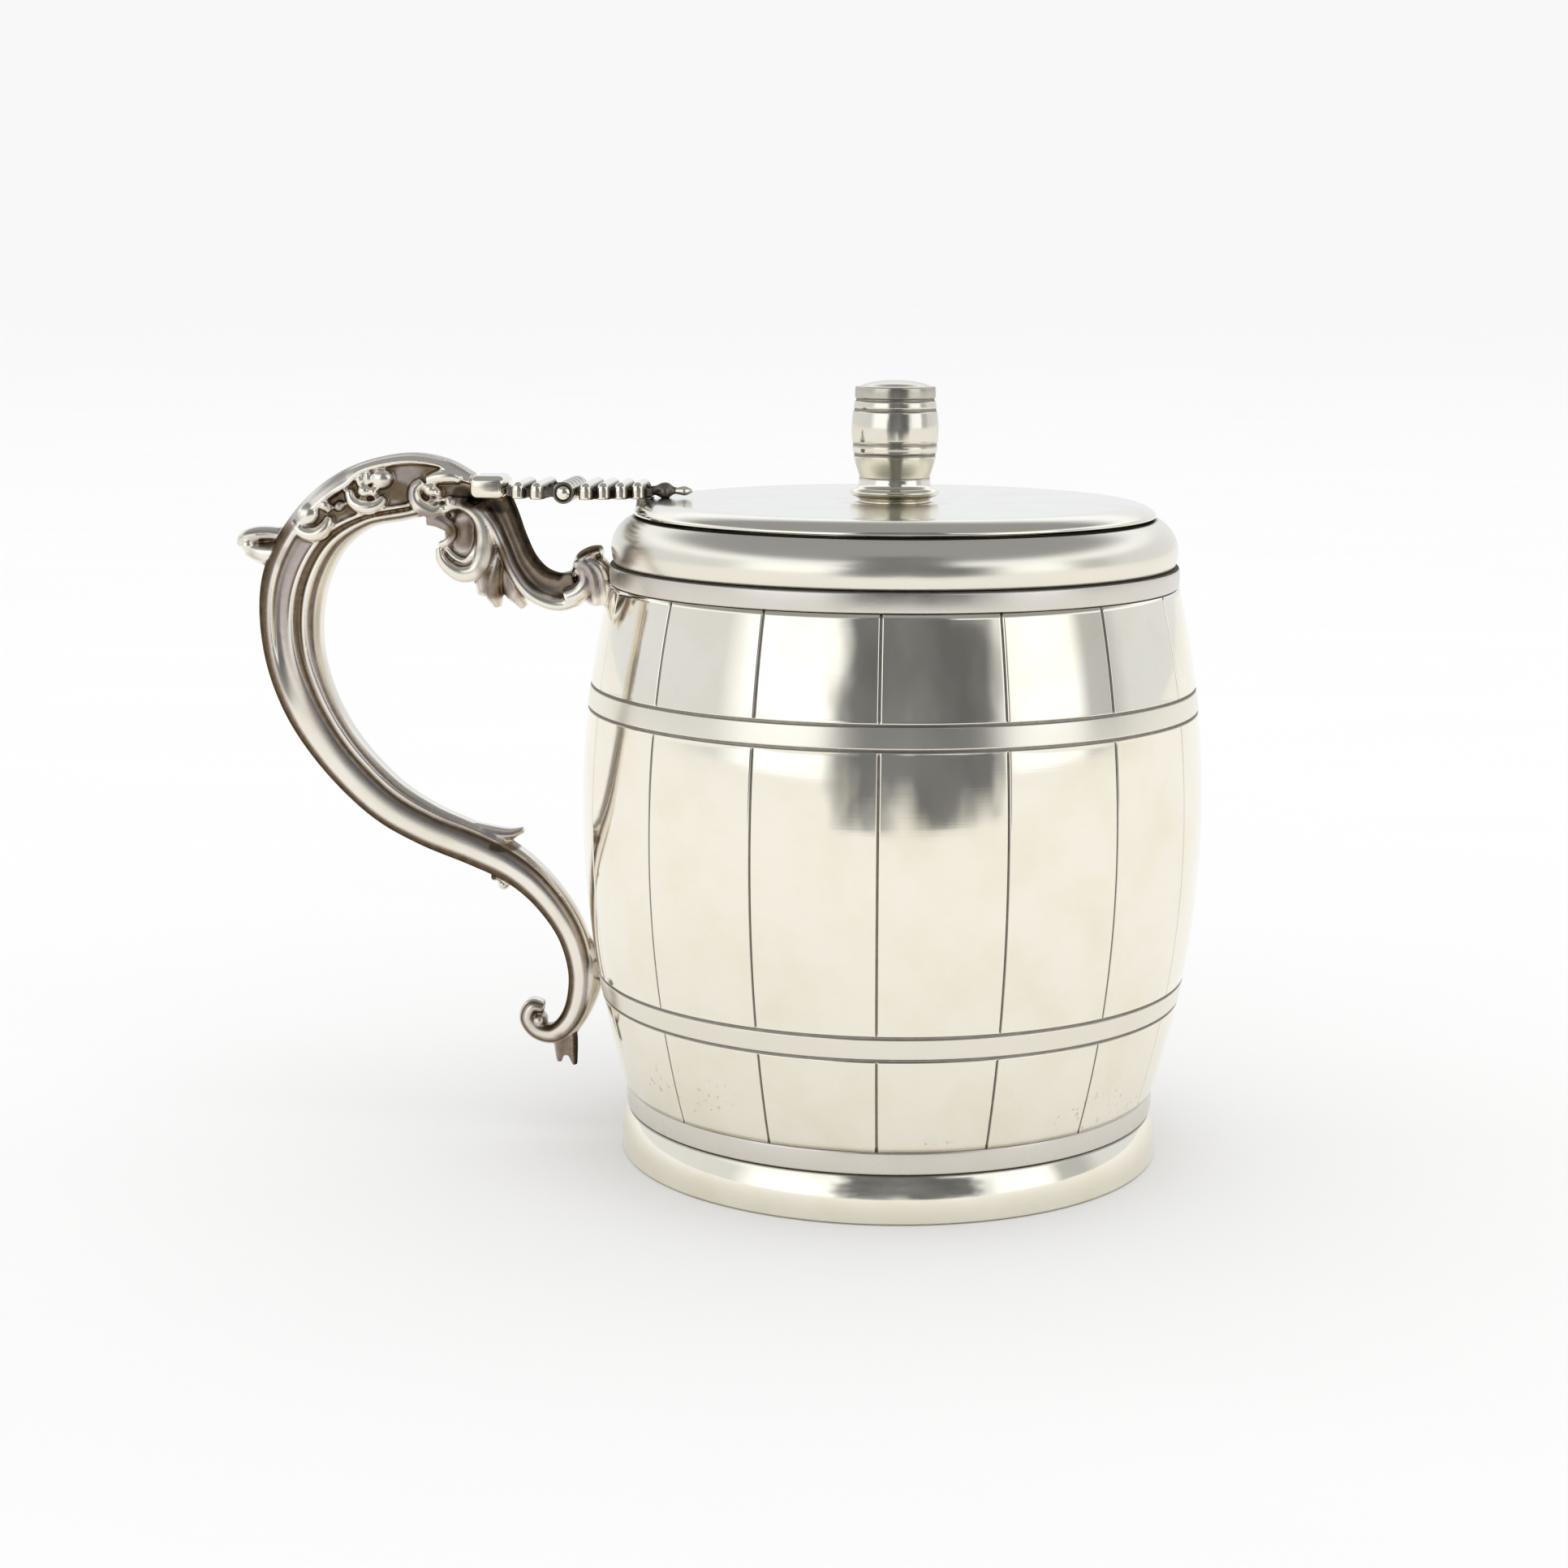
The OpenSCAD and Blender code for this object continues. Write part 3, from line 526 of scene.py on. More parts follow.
def stave_r(z):
    """Outside radius of the barrel at a height."""
    return belly_r - STAVE_ARC_R + np.sqrt(STAVE_ARC_R**2 - (z - BELLY_Z) ** 2)


def barrel():
    """Bulging wall with engraved staves and hoops."""
    half = np.array([0.2, 0.35, 0.5, 0.7, 0.9, 1.2, 2.0]) * LINE_W
    offsets = np.concatenate([-half[::-1], [0], half])
    heights = np.arange(barrel_z, collar_z, ROW_STEP)
    heights = np.concatenate([heights, [collar_z]] + [line + offsets for line in HOOP_LINES])
    heights = np.unique(np.round(heights[heights <= collar_z], 4))
    step = 2 * math.pi / STAVES
    inside = np.linspace(-0.5, 0.5, STAVE_COLUMNS)[1:-1]
    inside = inside[np.abs(inside) > 2.2 * LINE_W / (belly_r * step)]
    across = np.sort(np.concatenate([inside * step, offsets / belly_r, [0.5 * step]]))
    angles = (np.arange(STAVES)[:, None] * step + across[None, :]).ravel()
    outer = np.column_stack([stave_r(heights), heights])
    inner_heights = np.linspace(collar_z, barrel_z, 40)
    inner = np.column_stack([stave_r(inner_heights) - WALL, inner_heights])
    section = np.vstack([outer, inner])
    plain = np.zeros(len(inner))
    hoop_dark = np.concatenate([0.7 * near_lines(heights, HOOP_LINES, HOOP_LINE_W), plain])
    band = np.max([within(heights, low, high, 0.2) for low, high in HOOPS], axis=0)
    satin = np.concatenate([band * HOOP_SATIN, plain])

    def engrave(radius, height, turn, marks):
        share = (turn / step + 0.5) % 1.0 - 0.5
        gap = np.abs(share)[None, :] * step * radius
        zone = np.prod([1 - within(height, low - 0.4, high + 0.4, 0.4) for low, high in HOOPS], axis=0)
        zone[len(heights):] = 0
        groove = (1 - smoothstep(0.1 * LINE_W, 0.75 * LINE_W, gap)) * zone
        floor_dark = (1 - smoothstep(0.2 * LINE_W, 0.5 * LINE_W, gap)) * zone
        panel = STAVE_FLAT * (1 - (2 * np.abs(share)[None, :] - 1) ** 2) * zone
        ring = hoop_dark[:, None]
        marks["tarnish"] = np.maximum(0.9 * ring, 0.75 * floor_dark)
        return radius - LINE_D * np.maximum(groove, ring) - panel, height

    turned("barrel_wall", "barrel_body", section, satin=satin, angles=angles, shape=engrave)


BAND_SWELL = 0.06
BAND_EDGE = 0.28
BAND_SATIN = 0.45


def satin_band(name, node, radius, low, high, wall):
    """Matt turned band with rounded edges, a slight swell and a thin dark joint above and below."""
    inset = radius - BAND_EDGE
    lower = arc((inset, low + BAND_EDGE), BAND_EDGE, -80, 0, 8)
    upper = arc((inset, high - BAND_EDGE), BAND_EDGE, 0, 80, 8)
    outer = dense(np.vstack([lower, upper]), 0.08, False)
    outer[:, 0] -= BAND_SWELL * ((2 * outer[:, 1] - low - high) / (high - low)) ** 2
    section = np.vstack([outer, [[radius - wall, high], [radius - wall, low]]])
    dark = np.concatenate([0.8 * near_lines(outer[:, 1], [low, high], 0.17), [0, 0]])
    satin = np.full(len(section), BAND_SATIN)
    turned(name, node, section, slot="satin_silver", dark=dark, satin=satin)


FOOT_BULGE_Z = 1.3
FOOT_EDGE = 0.45
NECK_BULGE = 1.4
NECK_SATIN = 0.75
LIP_SHADE = 0.9


def foot():
    """Rounded ring under the pot and the satin wire above it."""
    inset = foot_r - wire_r + 0.25
    rise = wire_z - FOOT_BULGE_Z
    radius = (rise**2 + inset**2) / (2 * inset)
    top = math.degrees(math.asin(rise / radius))
    lower = arc((foot_r - FOOT_EDGE - 0.04, FOOT_EDGE), FOOT_EDGE, -90, -8, 8)
    outer = np.vstack([lower, arc((foot_r - radius, FOOT_BULGE_Z), radius, -3, top, 28)])
    inner_r = wire_r - 1.5
    ring = np.vstack([outer, [[inner_r, wire_z], [inner_r, 0.0]]])
    dark = 0.6 * near_lines(ring[:, 1], [wire_z], 0.2)
    dark[-2:] = 0
    turned("foot_ring_bright", "foot_ring", ring, dark=dark)
    satin_band("foot_satin_wire", "foot_wire", wire_r, wire_z, barrel_z, 1.0)


def neck():
    """Collar hoop at the top of the barrel and the rounded band above it."""
    satin_band("collar_satin_hoop", "collar_hoop", collar_r, collar_z, neck_z, WALL)
    bulge_z = neck_z + NECK_BULGE
    radius = rim_z - bulge_z + 0.2
    centre = (neck_r - radius, bulge_z)
    low = -math.degrees(math.asin(NECK_BULGE / radius))
    high = math.degrees(math.asin((rim_z - bulge_z - 0.1) / radius))
    outer = arc(centre, radius, low, high, 48)
    mouth_r = lid_r - 0.8
    lip = [[lid_r - 0.3, rim_z], [mouth_r, rim_z], [mouth_r, rim_z - 0.6]]
    roll = np.vstack([outer, lip, arc(centre, radius - WALL, high - 4, low, 16)])
    dark = np.zeros(len(roll))
    dark[:len(outer)] = near_lines(outer[:, 1], [neck_z], 0.16)
    # Painted shade: the flat lip under the lid is darkened so that the gap under the lid reads dark.
    dark[len(outer):len(outer) + len(lip)] = LIP_SHADE
    satin = np.where(np.arange(len(roll)) < len(outer), NECK_SATIN, 0.0)
    turned("neck_roll", "neck_band", roll, dark=dark, satin=satin)


STUD_HOLE_R = 0.93
LID_T = 0.7
LID_EDGE = 0.12
LID_SATIN = 0.4
LID_BORDER = [(0.02, 0.24), (0.14, 0.42), (0.5, 0.68), (1.1, 0.96), (1.9, 1.19), (2.8, 1.29), (4.2, 1.3)]


def lid():
    """Flat lid with a rounded border and a shallow dip round the finial."""
    edge = arc((lid_r - LID_EDGE, lid_z + LID_EDGE), LID_EDGE, -90, 10, 8)
    border = [(lid_r - inset, lid_z + rise) for inset, rise in LID_BORDER]
    crown_z = border[-1][1]
    dip = [(finial_foot_r + 3, crown_z), (finial_foot_r + 1, lid_top_z), (finial_foot_r - 1, lid_top_z)]
    plain = dense([border[-1], dip[0]], 0.8, False)[1:-1]
    under = dense([(STUD_HOLE_R, lid_z), edge[0]], 1.5, False)[:-1]
    section = np.vstack([under, edge, spline(border, 6), plain, spline(dip, 6), [[STUD_HOLE_R, lid_top_z]]])
    dark = 0.4 * near_lines(section[:, 0], [finial_foot_r + 0.1], 0.3)
    # Painted shade on the lid's underside near its edge, so that the gap over the neck reads dark.
    low = 1 - smoothstep(lid_z + 0.02, lid_z + 0.1, section[:, 1])
    dark = np.maximum(dark, low * smoothstep(lid_r - 1.2, lid_r - 0.8, section[:, 0]))

    def hammer(radius, height, turn, marks):
        wave = 0.018 * np.sin(3 * turn + 0.4)[None, :] + 0.012 * np.sin(7 * turn)[None, :] * (radius / lid_r)
        calm = smoothstep(6.0, 14.0, radius) * (1 - smoothstep(lid_r - 4.0, lid_r - 1.5, radius))
        return radius, height + wave * calm * (height > lid_z + LID_T / 2)

    satin = LID_SATIN * smoothstep(lid_z + 0.3, lid_z + 0.6, section[:, 1])
    turned("lid_plate", "lid", section, "lid_body", dark=dark, satin=satin, shape=hammer)


KNOB_FILM = 0.12
TOP_BAND_SHADE = 0.3


def knob():
    """Barrel knob with hoop lines."""
    z = finial_z
    band_z = finial_top_z - 0.6
    outer = spline([
        (3.38, z), (3.5, z + 0.4), (3.86, z + 1.5), (4.03, z + 2.3), (4.12, z + 3.2), (4.2, z + 4.6),
        (4.15, z + 5.6), (4.05, z + 6.4), (3.93, z + 7.2), (3.86, z + 7.5), (3.88, z + 7.7),
        (3.86, band_z - 0.15), (3.7, band_z), (3.4, band_z + 0.05), (2.6, finial_top_z - 0.28),
        (1.4, finial_top_z - 0.07), (0.0, finial_top_z)
    ], 8)
    lines = np.array([z + 2.2, z + 3.2, z + 6.5, z + 7.45])
    groove = near_lines(outer[:, 1], lines, 0.2)
    outer[:, 0] = np.maximum(outer[:, 0] - 0.1 * groove, 0)
    section = np.vstack([[[0.0, z]], outer])
    # The band above the top line is painted darker: painted shade that stands in for the dark reflections on
    # that band.
    film = KNOB_FILM + (TOP_BAND_SHADE - KNOB_FILM) * smoothstep(lines[-1], lines[-1] + 0.2, outer[:, 1])
    film[outer[:, 1] > band_z] = KNOB_FILM
    dark = np.concatenate([[0], np.maximum(0.55 * groove, film)])
    section[-1, 0] = 0
    turned("finial_knob", "finial_barrel", section, "lid_body", dark=dark, loop=False)


def flange():
    """Flange and waist under the knob."""
    z = finial_z
    mid = flange_z + 1.05
    outer = spline([
        (finial_foot_r, flange_z), (finial_foot_r + 0.05, flange_z + 0.25),
        (finial_foot_r + 0.3, flange_z + 0.5), (flange_r - 0.25, mid - 0.32), (flange_r, mid),
        (flange_r - 0.3, mid + 0.32), (3.6, mid + 0.55), (3.4, z)
    ], 6)
    section = np.vstack([outer, [[STUD_HOLE_R, z], [STUD_HOLE_R, flange_z]]])
    dark = 0.35 * near_lines(section[:, 1], [mid - 0.4, z], 0.2)
    dark[-2:] = 0
    turned("finial_flange", "finial_base", section, "lid_body", dark=dark)


def liner():
    """Blue glass liner with a rolled lip."""
    seat_z = neck_z
    body_r = liner_r - 1.1
    base_r = body_r - 1.2
    inner_r = body_r - 2.0
    rows = [
        (0.0, liner_z + 0.5), (base_r - 4, liner_z + 0.45), (base_r - 2.2, liner_z),
        (base_r - 1, liner_z + 0.1), (base_r, liner_z + 1.2), (body_r, seat_z - 1.2), (body_r, seat_z),
        (liner_r - 0.3, seat_z), (liner_r, seat_z + 0.4), (liner_r, seat_z + 1.4),
        (body_r + 0.1, liner_top_z - 0.4), (body_r - 0.5, liner_top_z), (body_r - 1.1, liner_top_z - 0.2),
        (inner_r, seat_z + 1.6), (inner_r - 0.6, 30.0), (base_r - 2.0, liner_z + 4.0),
        (base_r - 3.6, liner_z + 2.2), (0.0, liner_z + 2.0)
    ]
    turned("liner_glass", "glass_liner", rows, slot="blue_glass", loop=False)


# Hinge

KNUCKLE_R = 1.05
KNUCKLE_L = 1.8
KNUCKLE_GAP = 0.1
KNUCKLES = 5
HINGE_W = KNUCKLES * KNUCKLE_L + (KNUCKLES - 1) * KNUCKLE_GAP
PIN_R = 0.7
PIN_DOME_R = 0.97
PIN_PROUD = 0.3
LEAF_T = 1.3
LOBE_R = 0.7
LEAF_CLEAR = 0.3
RIB_RISE = 0.85
BLOCK_EDGE = 0.75
HANDLE_LOBES = [(2.6, 4.1), (4.5, 3.4)]
LID_LOBES = [(2.15, 4.1), (3.75, 3.5), (5.35, 2.9), (6.95, 2.3)]
LID_TIP = [
    (7.4, 0.45), (8.3, 0.45), (9.0, 0.75), (9.6, 0.75), (10.2, 0.35), (10.7, 0.4), (11.3, 0.48),
    (12.0, 0.14)
]
GAP_TARNISH_AND_SHADE = 0.85
TIP_NECK_DARK = 0.7
KNUCKLE_TARNISH = (1, 0.8, 0.15, 0.15, 0.8, 1)


def along_pin(piece):
    """Lays a turned piece along the hinge pin."""
    lay = Matrix.Rotation(math.radians(90), 4, "X")
    piece.data.transform(Matrix.Translation((pin_x * MM, 0, pin_z * MM)) @ lay)
    return piece


def knuckle_places(first):
    """Where every second knuckle starts along the pin."""
    return [-HINGE_W / 2 + k * (KNUCKLE_L + KNUCKLE_GAP) for k in range(first, KNUCKLES, 2)]


def rib_across(x, z, reach, wide, high):
    """Rounded rib that runs across a strap to a blunt end on each side."""
    turn = ring_angles(20)
    rings = []
    for angle in np.linspace(-0.49 * math.pi, 0.49 * math.pi, 17):
        y = (reach - wide) * np.sign(round(angle, 6)) + wide * math.sin(angle)
        size = math.cos(angle) ** 0.55
        across, up = x + wide * size * np.cos(turn), z + high * size * np.sin(turn)
        rings.append(np.column_stack([across, np.full_like(turn, y), up]))
    return closed_tube(rings)


def scallop(x, reach, wide, low, high):
    """Upright rib with round ends in plan."""
    ends = [arc((x, reach - wide), wide, 0, 180, 9), arc((x, wide - reach), wide, 180, 360, 9)]
    return slab(np.vstack(ends), low, high)


def strap_lumps(facing, first, lobes, end):
    """Plate, ribs, webs to the knuckles and, towards the lid, the tip of a strap."""
    low = pin_z - LEAF_T / 2
    start = KNUCKLE_R + LEAF_CLEAR
    half = [(start + 0.15, lobes[0][1] - 0.4)] + [(x, y - 0.1) for x, y in lobes] + end
    outline = half + [(x, -y) for x, y in half[::-1]]
    lumps = [slab([(pin_x + facing * x, y) for x, y in outline], low + 0.12, low + LEAF_T - 0.4)]
    for x, y in lobes:
        at = pin_x + facing * x
        lumps.append(scallop(at, y + 0.9, LOBE_R, low, low + LEAF_T - 0.35))
        lumps.append(rib_across(at, low + LEAF_T - 0.5, y + 0.85, LOBE_R * 0.92, RIB_RISE))
    near, far = pin_x + facing * 0.8, pin_x + facing * (start + 0.5)
    for y in knuckle_places(first):
        left, right = y + 0.12, y + KNUCKLE_L - 0.12
        web = [(near, left), (far, left), (far, right), (near, right)]
        lumps.append(slab(web, low + 0.25, low + LEAF_T - 0.25))
    if facing > 0:
        lumps.append(tube([(pin_x + x, 0, pin_z, r) for x, r in LID_TIP], flat=1.5))
    return lumps


def strap(name, facing, first, lobes, end):
    """Lobed hinge strap with its knuckles; facing is -1 towards the handle and 1 towards the lid."""
    crests = np.array([x for x, _ in lobes])
    last = crests[-1]

    def paint(points, normals, dark):
        along = facing * (points[:, 0] - pin_x)
        gap = np.min(np.abs(along[:, None] - crests[None, :]), axis=1)
        # Tarnish and painted shade in the gaps between the lobes.
        between = smoothstep(0.55 * LOBE_R, 0.95 * LOBE_R, gap) * (along < last + 1.2)
        # Darker beyond the last lobe, up to the lid strap's tip.
        tip = smoothstep(last + 0.6, last + 1.0, along) * (along < LID_TIP[-1][0] - 1.6)
        # Painted shade on the faces that look down.
        under = smoothstep(-0.4, -0.8, normals[:, 2])
        return np.max([dark, GAP_TARNISH_AND_SHADE * between, TIP_NECK_DARK * tip, 0.5 * under], axis=0)

    lumps = strap_lumps(facing, first, lobes, end)
    parts = [cast(name, lumps, voxel=0.1, soften=1, depth=0.07, sunk_at=0.01, paint=paint)]
    half = [(PIN_R + 0.02, 0.0), (KNUCKLE_R - 0.12, 0.0), (KNUCKLE_R, 0.1)]
    ring = half + [(r, KNUCKLE_L - z) for r, z in half[::-1]]
    turn = ring_angles(SMALL_TURN)
    for y in knuckle_places(first):
        section = [(r, -y - z) for r, z in ring]
        parts.append(along_pin(lathe(name + "_knuckle", section, dark=KNUCKLE_TARNISH, angles=turn)))
    return join(name, parts)


def join(name, parts):
    """One object from several, marks kept."""
    first = parts[0]
    with bpy.context.temp_override(active_object=first, selected_editable_objects=parts, object=first):
        bpy.ops.object.join()
    first.name = name
    return first


def straps():
    """The two straps, whose knuckles take turns along the pin."""
    on_handle = strap("handle_strap", -1, 0, HANDLE_LOBES, [(5.9, 2.5)])
    dress(on_handle, "pot_body", "polished_silver", "handle_hinge_leaf")
    on_lid = strap("lid_strap", 1, 1, LID_LOBES, [(8.2, 1.0)])
    dress(on_lid, "lid_body", "polished_silver", "lid_hinge_leaf")


POST_ROOT = 0.55


def post():
    """Waisted post between the lid and its strap."""
    low, high = (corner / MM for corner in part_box("hinge_post"))
    radius = (high.x - low.x) / 2
    root_z = low.z - POST_ROOT
    rows = [(0, root_z), (radius, root_z), (radius - 0.1, low.z + 0.15), (radius - 0.12, high.z - 0.15),
            (radius, high.z), (0, high.z)]
    dark = np.full(len(rows), 0.6)
    piece = lathe("strap_post", rows, dark=dark, angles=ring_angles(SMALL_TURN), loop=False)
    piece.data.transform(Matrix.Translation(((low.x + radius) * MM, 0, 0)))
    dress(piece, "lid_body", "polished_silver", "hinge_post")


def pin():
    """Pin with domed ends."""
    dome = arc((0, HINGE_W / 2 + PIN_PROUD - PIN_DOME_R), PIN_DOME_R, 46, 90, 8)
    section = np.vstack([dome[::-1], dome * (1, -1)])
    section[0, 0] = section[-1, 0] = 0
    piece = along_pin(lathe("domed_pin", section, angles=ring_angles(SMALL_TURN), loop=False))
    dress(piece, "pot_body", "polished_silver", "hinge_pin")


def strap_block():
    """Block with rounded edges, which carries the handle's strap."""
    bm = bmesh.new()
    bmesh.ops.create_cube(bm, size=1)
    size = block_high - block_low
    bm.transform(Matrix.Translation((block_low + block_high) / 2) @ Matrix.Diagonal((*size, 1)))
    bmesh.ops.bevel(bm, geom=bm.edges[:], offset=BLOCK_EDGE, segments=6, profile=0.5, affect="EDGES")
    verts, faces = taken(bm)
    zero = np.zeros(len(verts))
    piece = finish_mesh("strap_block", verts, faces, {"tarnish": zero, "satin": zero})
    dress(piece, "pot_body", "polished_silver", "hinge_block")


# Cast handle

TAIL_Z = 19.0
DRAWN_RISE = 46.0
# The handle's middle line: reach, height over the tail, width, thickness, place of the rib and stage
SCROLL_ROWS = [
    (0.1, 45.9, 3.2, 4.4, -0.24, 0), (3.2, 46.4, 5.4, 4.8, -0.28, 0), (6.7, 46.15, 6.5, 5, -0.28, 0),
    (11.7, 44.9, 6.2, 5, -0.26, 0), (16.5, 41.6, 6.1, 5, -0.12, 0), (20.3, 36.6, 6.4, 5, -0.07, 0),
    (22.2, 30.6, 5.9, 4.9, -0.04, 0.3), (22.2, 24.9, 5.4, 4.7, -0.04, 0.9), (20.5, 19.8, 4.9, 4.4, 0, 1),
    (17.4, 15.3, 4.6, 4.2, 0, 1.1), (13.8, 12.6, 4.3, 4, 0, 1.4), (9.4, 10.5, 4.1, 3.8, 0, 1.8),
    (6.1, 8.5, 3.7, 3.6, 0, 2), (3.8, 5.8, 3.3, 3.3, 0, 2), (2.3, 2.2, 3.0, 3.1, 0, 2),
    (2.2, -1.6, 2.8, 2.9, 0, 2), (3.2, -4.8, 2.6, 2.8, 0, 2), (4.8, -7.2, 2.3, 2.7, 0, 2),
    (6.8, -8.6, 2.0, 2.6, 0, 2), (8.5, -8.3, 1.8, 2.5, 0, 2), (9.1, -7.0, 1.7, 2.5, 0, 2),
    (8.3, -5.8, 1.5, 2.4, 0, 2), (7.2, -5.9, 1.1, 2.3, 0, 2)
]
# Half sections from the back to the inner face: shares of the width and the thickness, and tarnish with
# painted shade on the back edge and on slopes that turn from the light
ROLL_SECTION = [
    (0.5, 0.12, 0.5), (0.485, 0.25, 0.8), (0.45, 0.35, 0.86), (0.4, 0.43, 0.86), (0.345, 0.475, 0.8),
    (0.305, 0.49, 0.4), (0.275, 0.495, 0.04), (0.2, 0.5, 0), (0.12, 0.5, 0), (0.05, 0.497, 0.02),
    (0.01, 0.493, 0.1), (-0.04, 0.487, 0.3), (-0.09, 0.478, 0.38), (-0.14, 0.462, 0.45),
    (-0.18, 0.435, 0.68), (-0.21, 0.4, 0.84), (-0.25, 0.39, 0.6), (-0.285, 0.415, 0.15),
    (-0.33, 0.428, 0.03), (-0.37, 0.41, 0.15), (-0.405, 0.36, 0.65), (-0.44, 0.31, 0.2),
    (-0.5, 0.14, 0.05)
]
TAIL_SECTION = [
    (0.5, 0.12, 0.5), (0.48, 0.24, 0.8), (0.44, 0.345, 0.86), (0.38, 0.42, 0.86), (0.32, 0.465, 0.84),
    (0.27, 0.485, 0.7), (0.225, 0.495, 0.3), (0.19, 0.499, 0.03), (0.12, 0.5, 0), (0.04, 0.5, 0),
    (-0.03, 0.495, 0.02), (-0.08, 0.488, 0.08), (-0.12, 0.478, 0.3), (-0.16, 0.465, 0.38),
    (-0.2, 0.445, 0.42), (-0.245, 0.415, 0.55), (-0.29, 0.375, 0.78), (-0.33, 0.35, 0.86),
    (-0.365, 0.36, 0.5), (-0.4, 0.37, 0.12), (-0.435, 0.35, 0.1), (-0.47, 0.28, 0.25), (-0.5, 0.14, 0.05)
]


def handle_place(reach, height):
    """Place in x and z of a row that is drawn from the line between the tail and the block."""
    share = height / DRAWN_RISE
    tail_x = -stave_r(TAIL_Z)
    return tail_x + (block_low.x - tail_x) * share - reach, TAIL_Z + share * (pin_z - TAIL_Z)


def reeded(rib, stage):
    """Half section at a place of the rib; stage leads from the C-scroll to the roll and the tail."""
    rest = rib + 0.5
    bed = 0.37 + 0.14 * min(rib, 0)
    crest = 0.27 + 0.12 * smoothstep(-0.262, -0.28, rib)
    back = 0.5 - crest
    # Painted shade along the scroll's back edge, where it turns away; it fades out at the top of the
    # C-scroll, where the rib lies furthest in.
    back_edge_shade = 0.86 - 0.8 * smoothstep(-0.1, -0.22, rib)
    full = [
        (0.5, 0.12, 0.5), (0.485, 0.26, 0.3 + 0.6 * back_edge_shade), (crest + 0.62 * back, 0.39, back_edge_shade),
        (crest + 0.3 * back, 0.45, 0.85 * back_edge_shade), (crest + 0.1 * back, 0.485, 0.2 * back_edge_shade),
        (crest, 0.49, 0.03), (crest - 0.035, 0.465, 0.05), (crest - 0.065, bed + 0.03, 0.55),
        (crest - 0.1, bed, 0.45), (0.5 * (crest + rib), bed - 0.005, 0.4), (rib + 0.075, bed + 0.015, 0.45),
        (rib + 0.035, 0.42, 0.12), (rib, 0.45, 0.02), (rib - 0.06 * rest, 0.43, 0.08),
        (rib - 0.13 * rest, 0.36, 0.7), (rib - 0.28 * rest, 0.335, 0.74), (rib - 0.37 * rest, 0.39, 0.1),
        (rib - 0.48 * rest, 0.42, 0.02), (rib - 0.57 * rest, 0.39, 0.1), (rib - 0.63 * rest, 0.325, 0.7),
        (rib - 0.74 * rest, 0.305, 0.68), (rib - 0.81 * rest, 0.3, 0.12), (-0.5, 0.14, 0.05)
    ]
    if stage < 1:
        return (1 - stage) * np.array(full) + stage * np.array(ROLL_SECTION)
    return (2 - stage) * np.array(ROLL_SECTION) + (stage - 1) * np.array(TAIL_SECTION)


def ring_section(half):
    """Closed section from a half section and its mirror image."""
    half = np.asarray(half, float)[:, :2]
    return spline(np.vstack([half, half[::-1] * (1, -1)]), 4, loop=True)


def handle_rows():
    """The handle's middle line: x, z, width, thickness, place of the rib and stage."""
    return spline([(*handle_place(r[0], r[1]), *r[2:]) for r in SCROLL_ROWS], 14)


def handle_lumps():
    """The scroll and all of its ornaments."""
    rows = handle_rows()
    lumps = [swept(rows[:, :4], [ring_section(reeded(row[4], row[5])) for row in rows])]
    for ornament in (curl_lumps, bud_lumps, spur_lumps, tail_lumps, volute_lumps, bracket_lumps):
        lumps += ornament()
    return lumps


def ridges(lines, depth, flat=1.0):
    """Round ridges on both sides of the handle, each a list of x, z and radius."""
    lumps = []
    for line in lines:
        lumps += both_sides(tube([(x, depth, z, r) for x, z, r in line], flat=flat))
    return lumps


def middle_ridges(lines, flat):
    """Ridges on the handle's middle plane, wider in y by flat."""
    return [tube([(x, 0, z, r) for x, z, r in line], flat=flat) for line in lines]


def curl_lumps():
    """Curled leaves in the channel of the C-scroll: a cup, its beads and leaf tips, on both sides."""
    cups = [
        [(-58.7, 61.8, 0.4), (-58.1, 61.05, 0.6), (-57.4, 60.6, 0.75), (-56.5, 60.5, 0.8),
         (-55.7, 60.9, 0.8), (-55.2, 61.6, 0.65), (-55.1, 62.3, 0.4)], [(-53.1, 64.9, 0.45),
         (-52.7, 63.8, 0.65), (-51.9, 63.3, 0.75), (-51.0, 63.2, 0.75), (-50.2, 63.5, 0.65),
         (-49.5, 64.2, 0.4)], [(-45.7, 65.8, 0.5), (-46.4, 65.2, 0.65), (-46.6, 64.5, 0.75),
         (-46.3, 63.7, 0.8), (-45.6, 63.2, 0.8), (-44.7, 62.9, 0.7), (-43.9, 63.3, 0.45)]
    ]
    tips = [
        [(-52.0, 66.9, 0.33), (-51.95, 66.0, 0.45), (-51.9, 65.4, 0.4)],
        [(-51.2, 67.0, 0.33), (-51.15, 66.1, 0.45), (-51.1, 65.5, 0.4)],
        [(-56.1, 63.45, 0.4), (-55.4, 63.35, 0.6), (-54.9, 62.8, 0.4)],
        [(-45.4, 65.9, 0.45), (-44.1, 66.25, 0.7), (-42.9, 66.3, 0.7), (-42.0, 66.0, 0.5)],
        [(-43.2, 64.4, 0.35), (-43.1, 63.8, 0.55), (-43.0, 63.2, 0.4)]
    ]
    beads = [
        (-57.2, 62.4, 1.3, 1.05, 45), (-54.0, 63.3, 0.6, 0.5, 30), (-51.5, 64.8, 0.75, 0.7, 0),
        (-50.6, 64.75, 0.55, 0.55, 0), (-49.8, 66.0, 1.15, 1.0, 0), (-45.0, 65.0, 0.8, 0.75, 0),
        (-44.3, 64.75, 0.5, 0.5, 0)
    ]
    lumps = ridges(cups, 1.75, 1.4) + ridges(tips, 1.75, 1.3)
    for x, z, long, short, tilt in beads:
        lumps += both_sides(bead((x, 1.8, z), (long, 0.8, short), tilt))
    return lumps


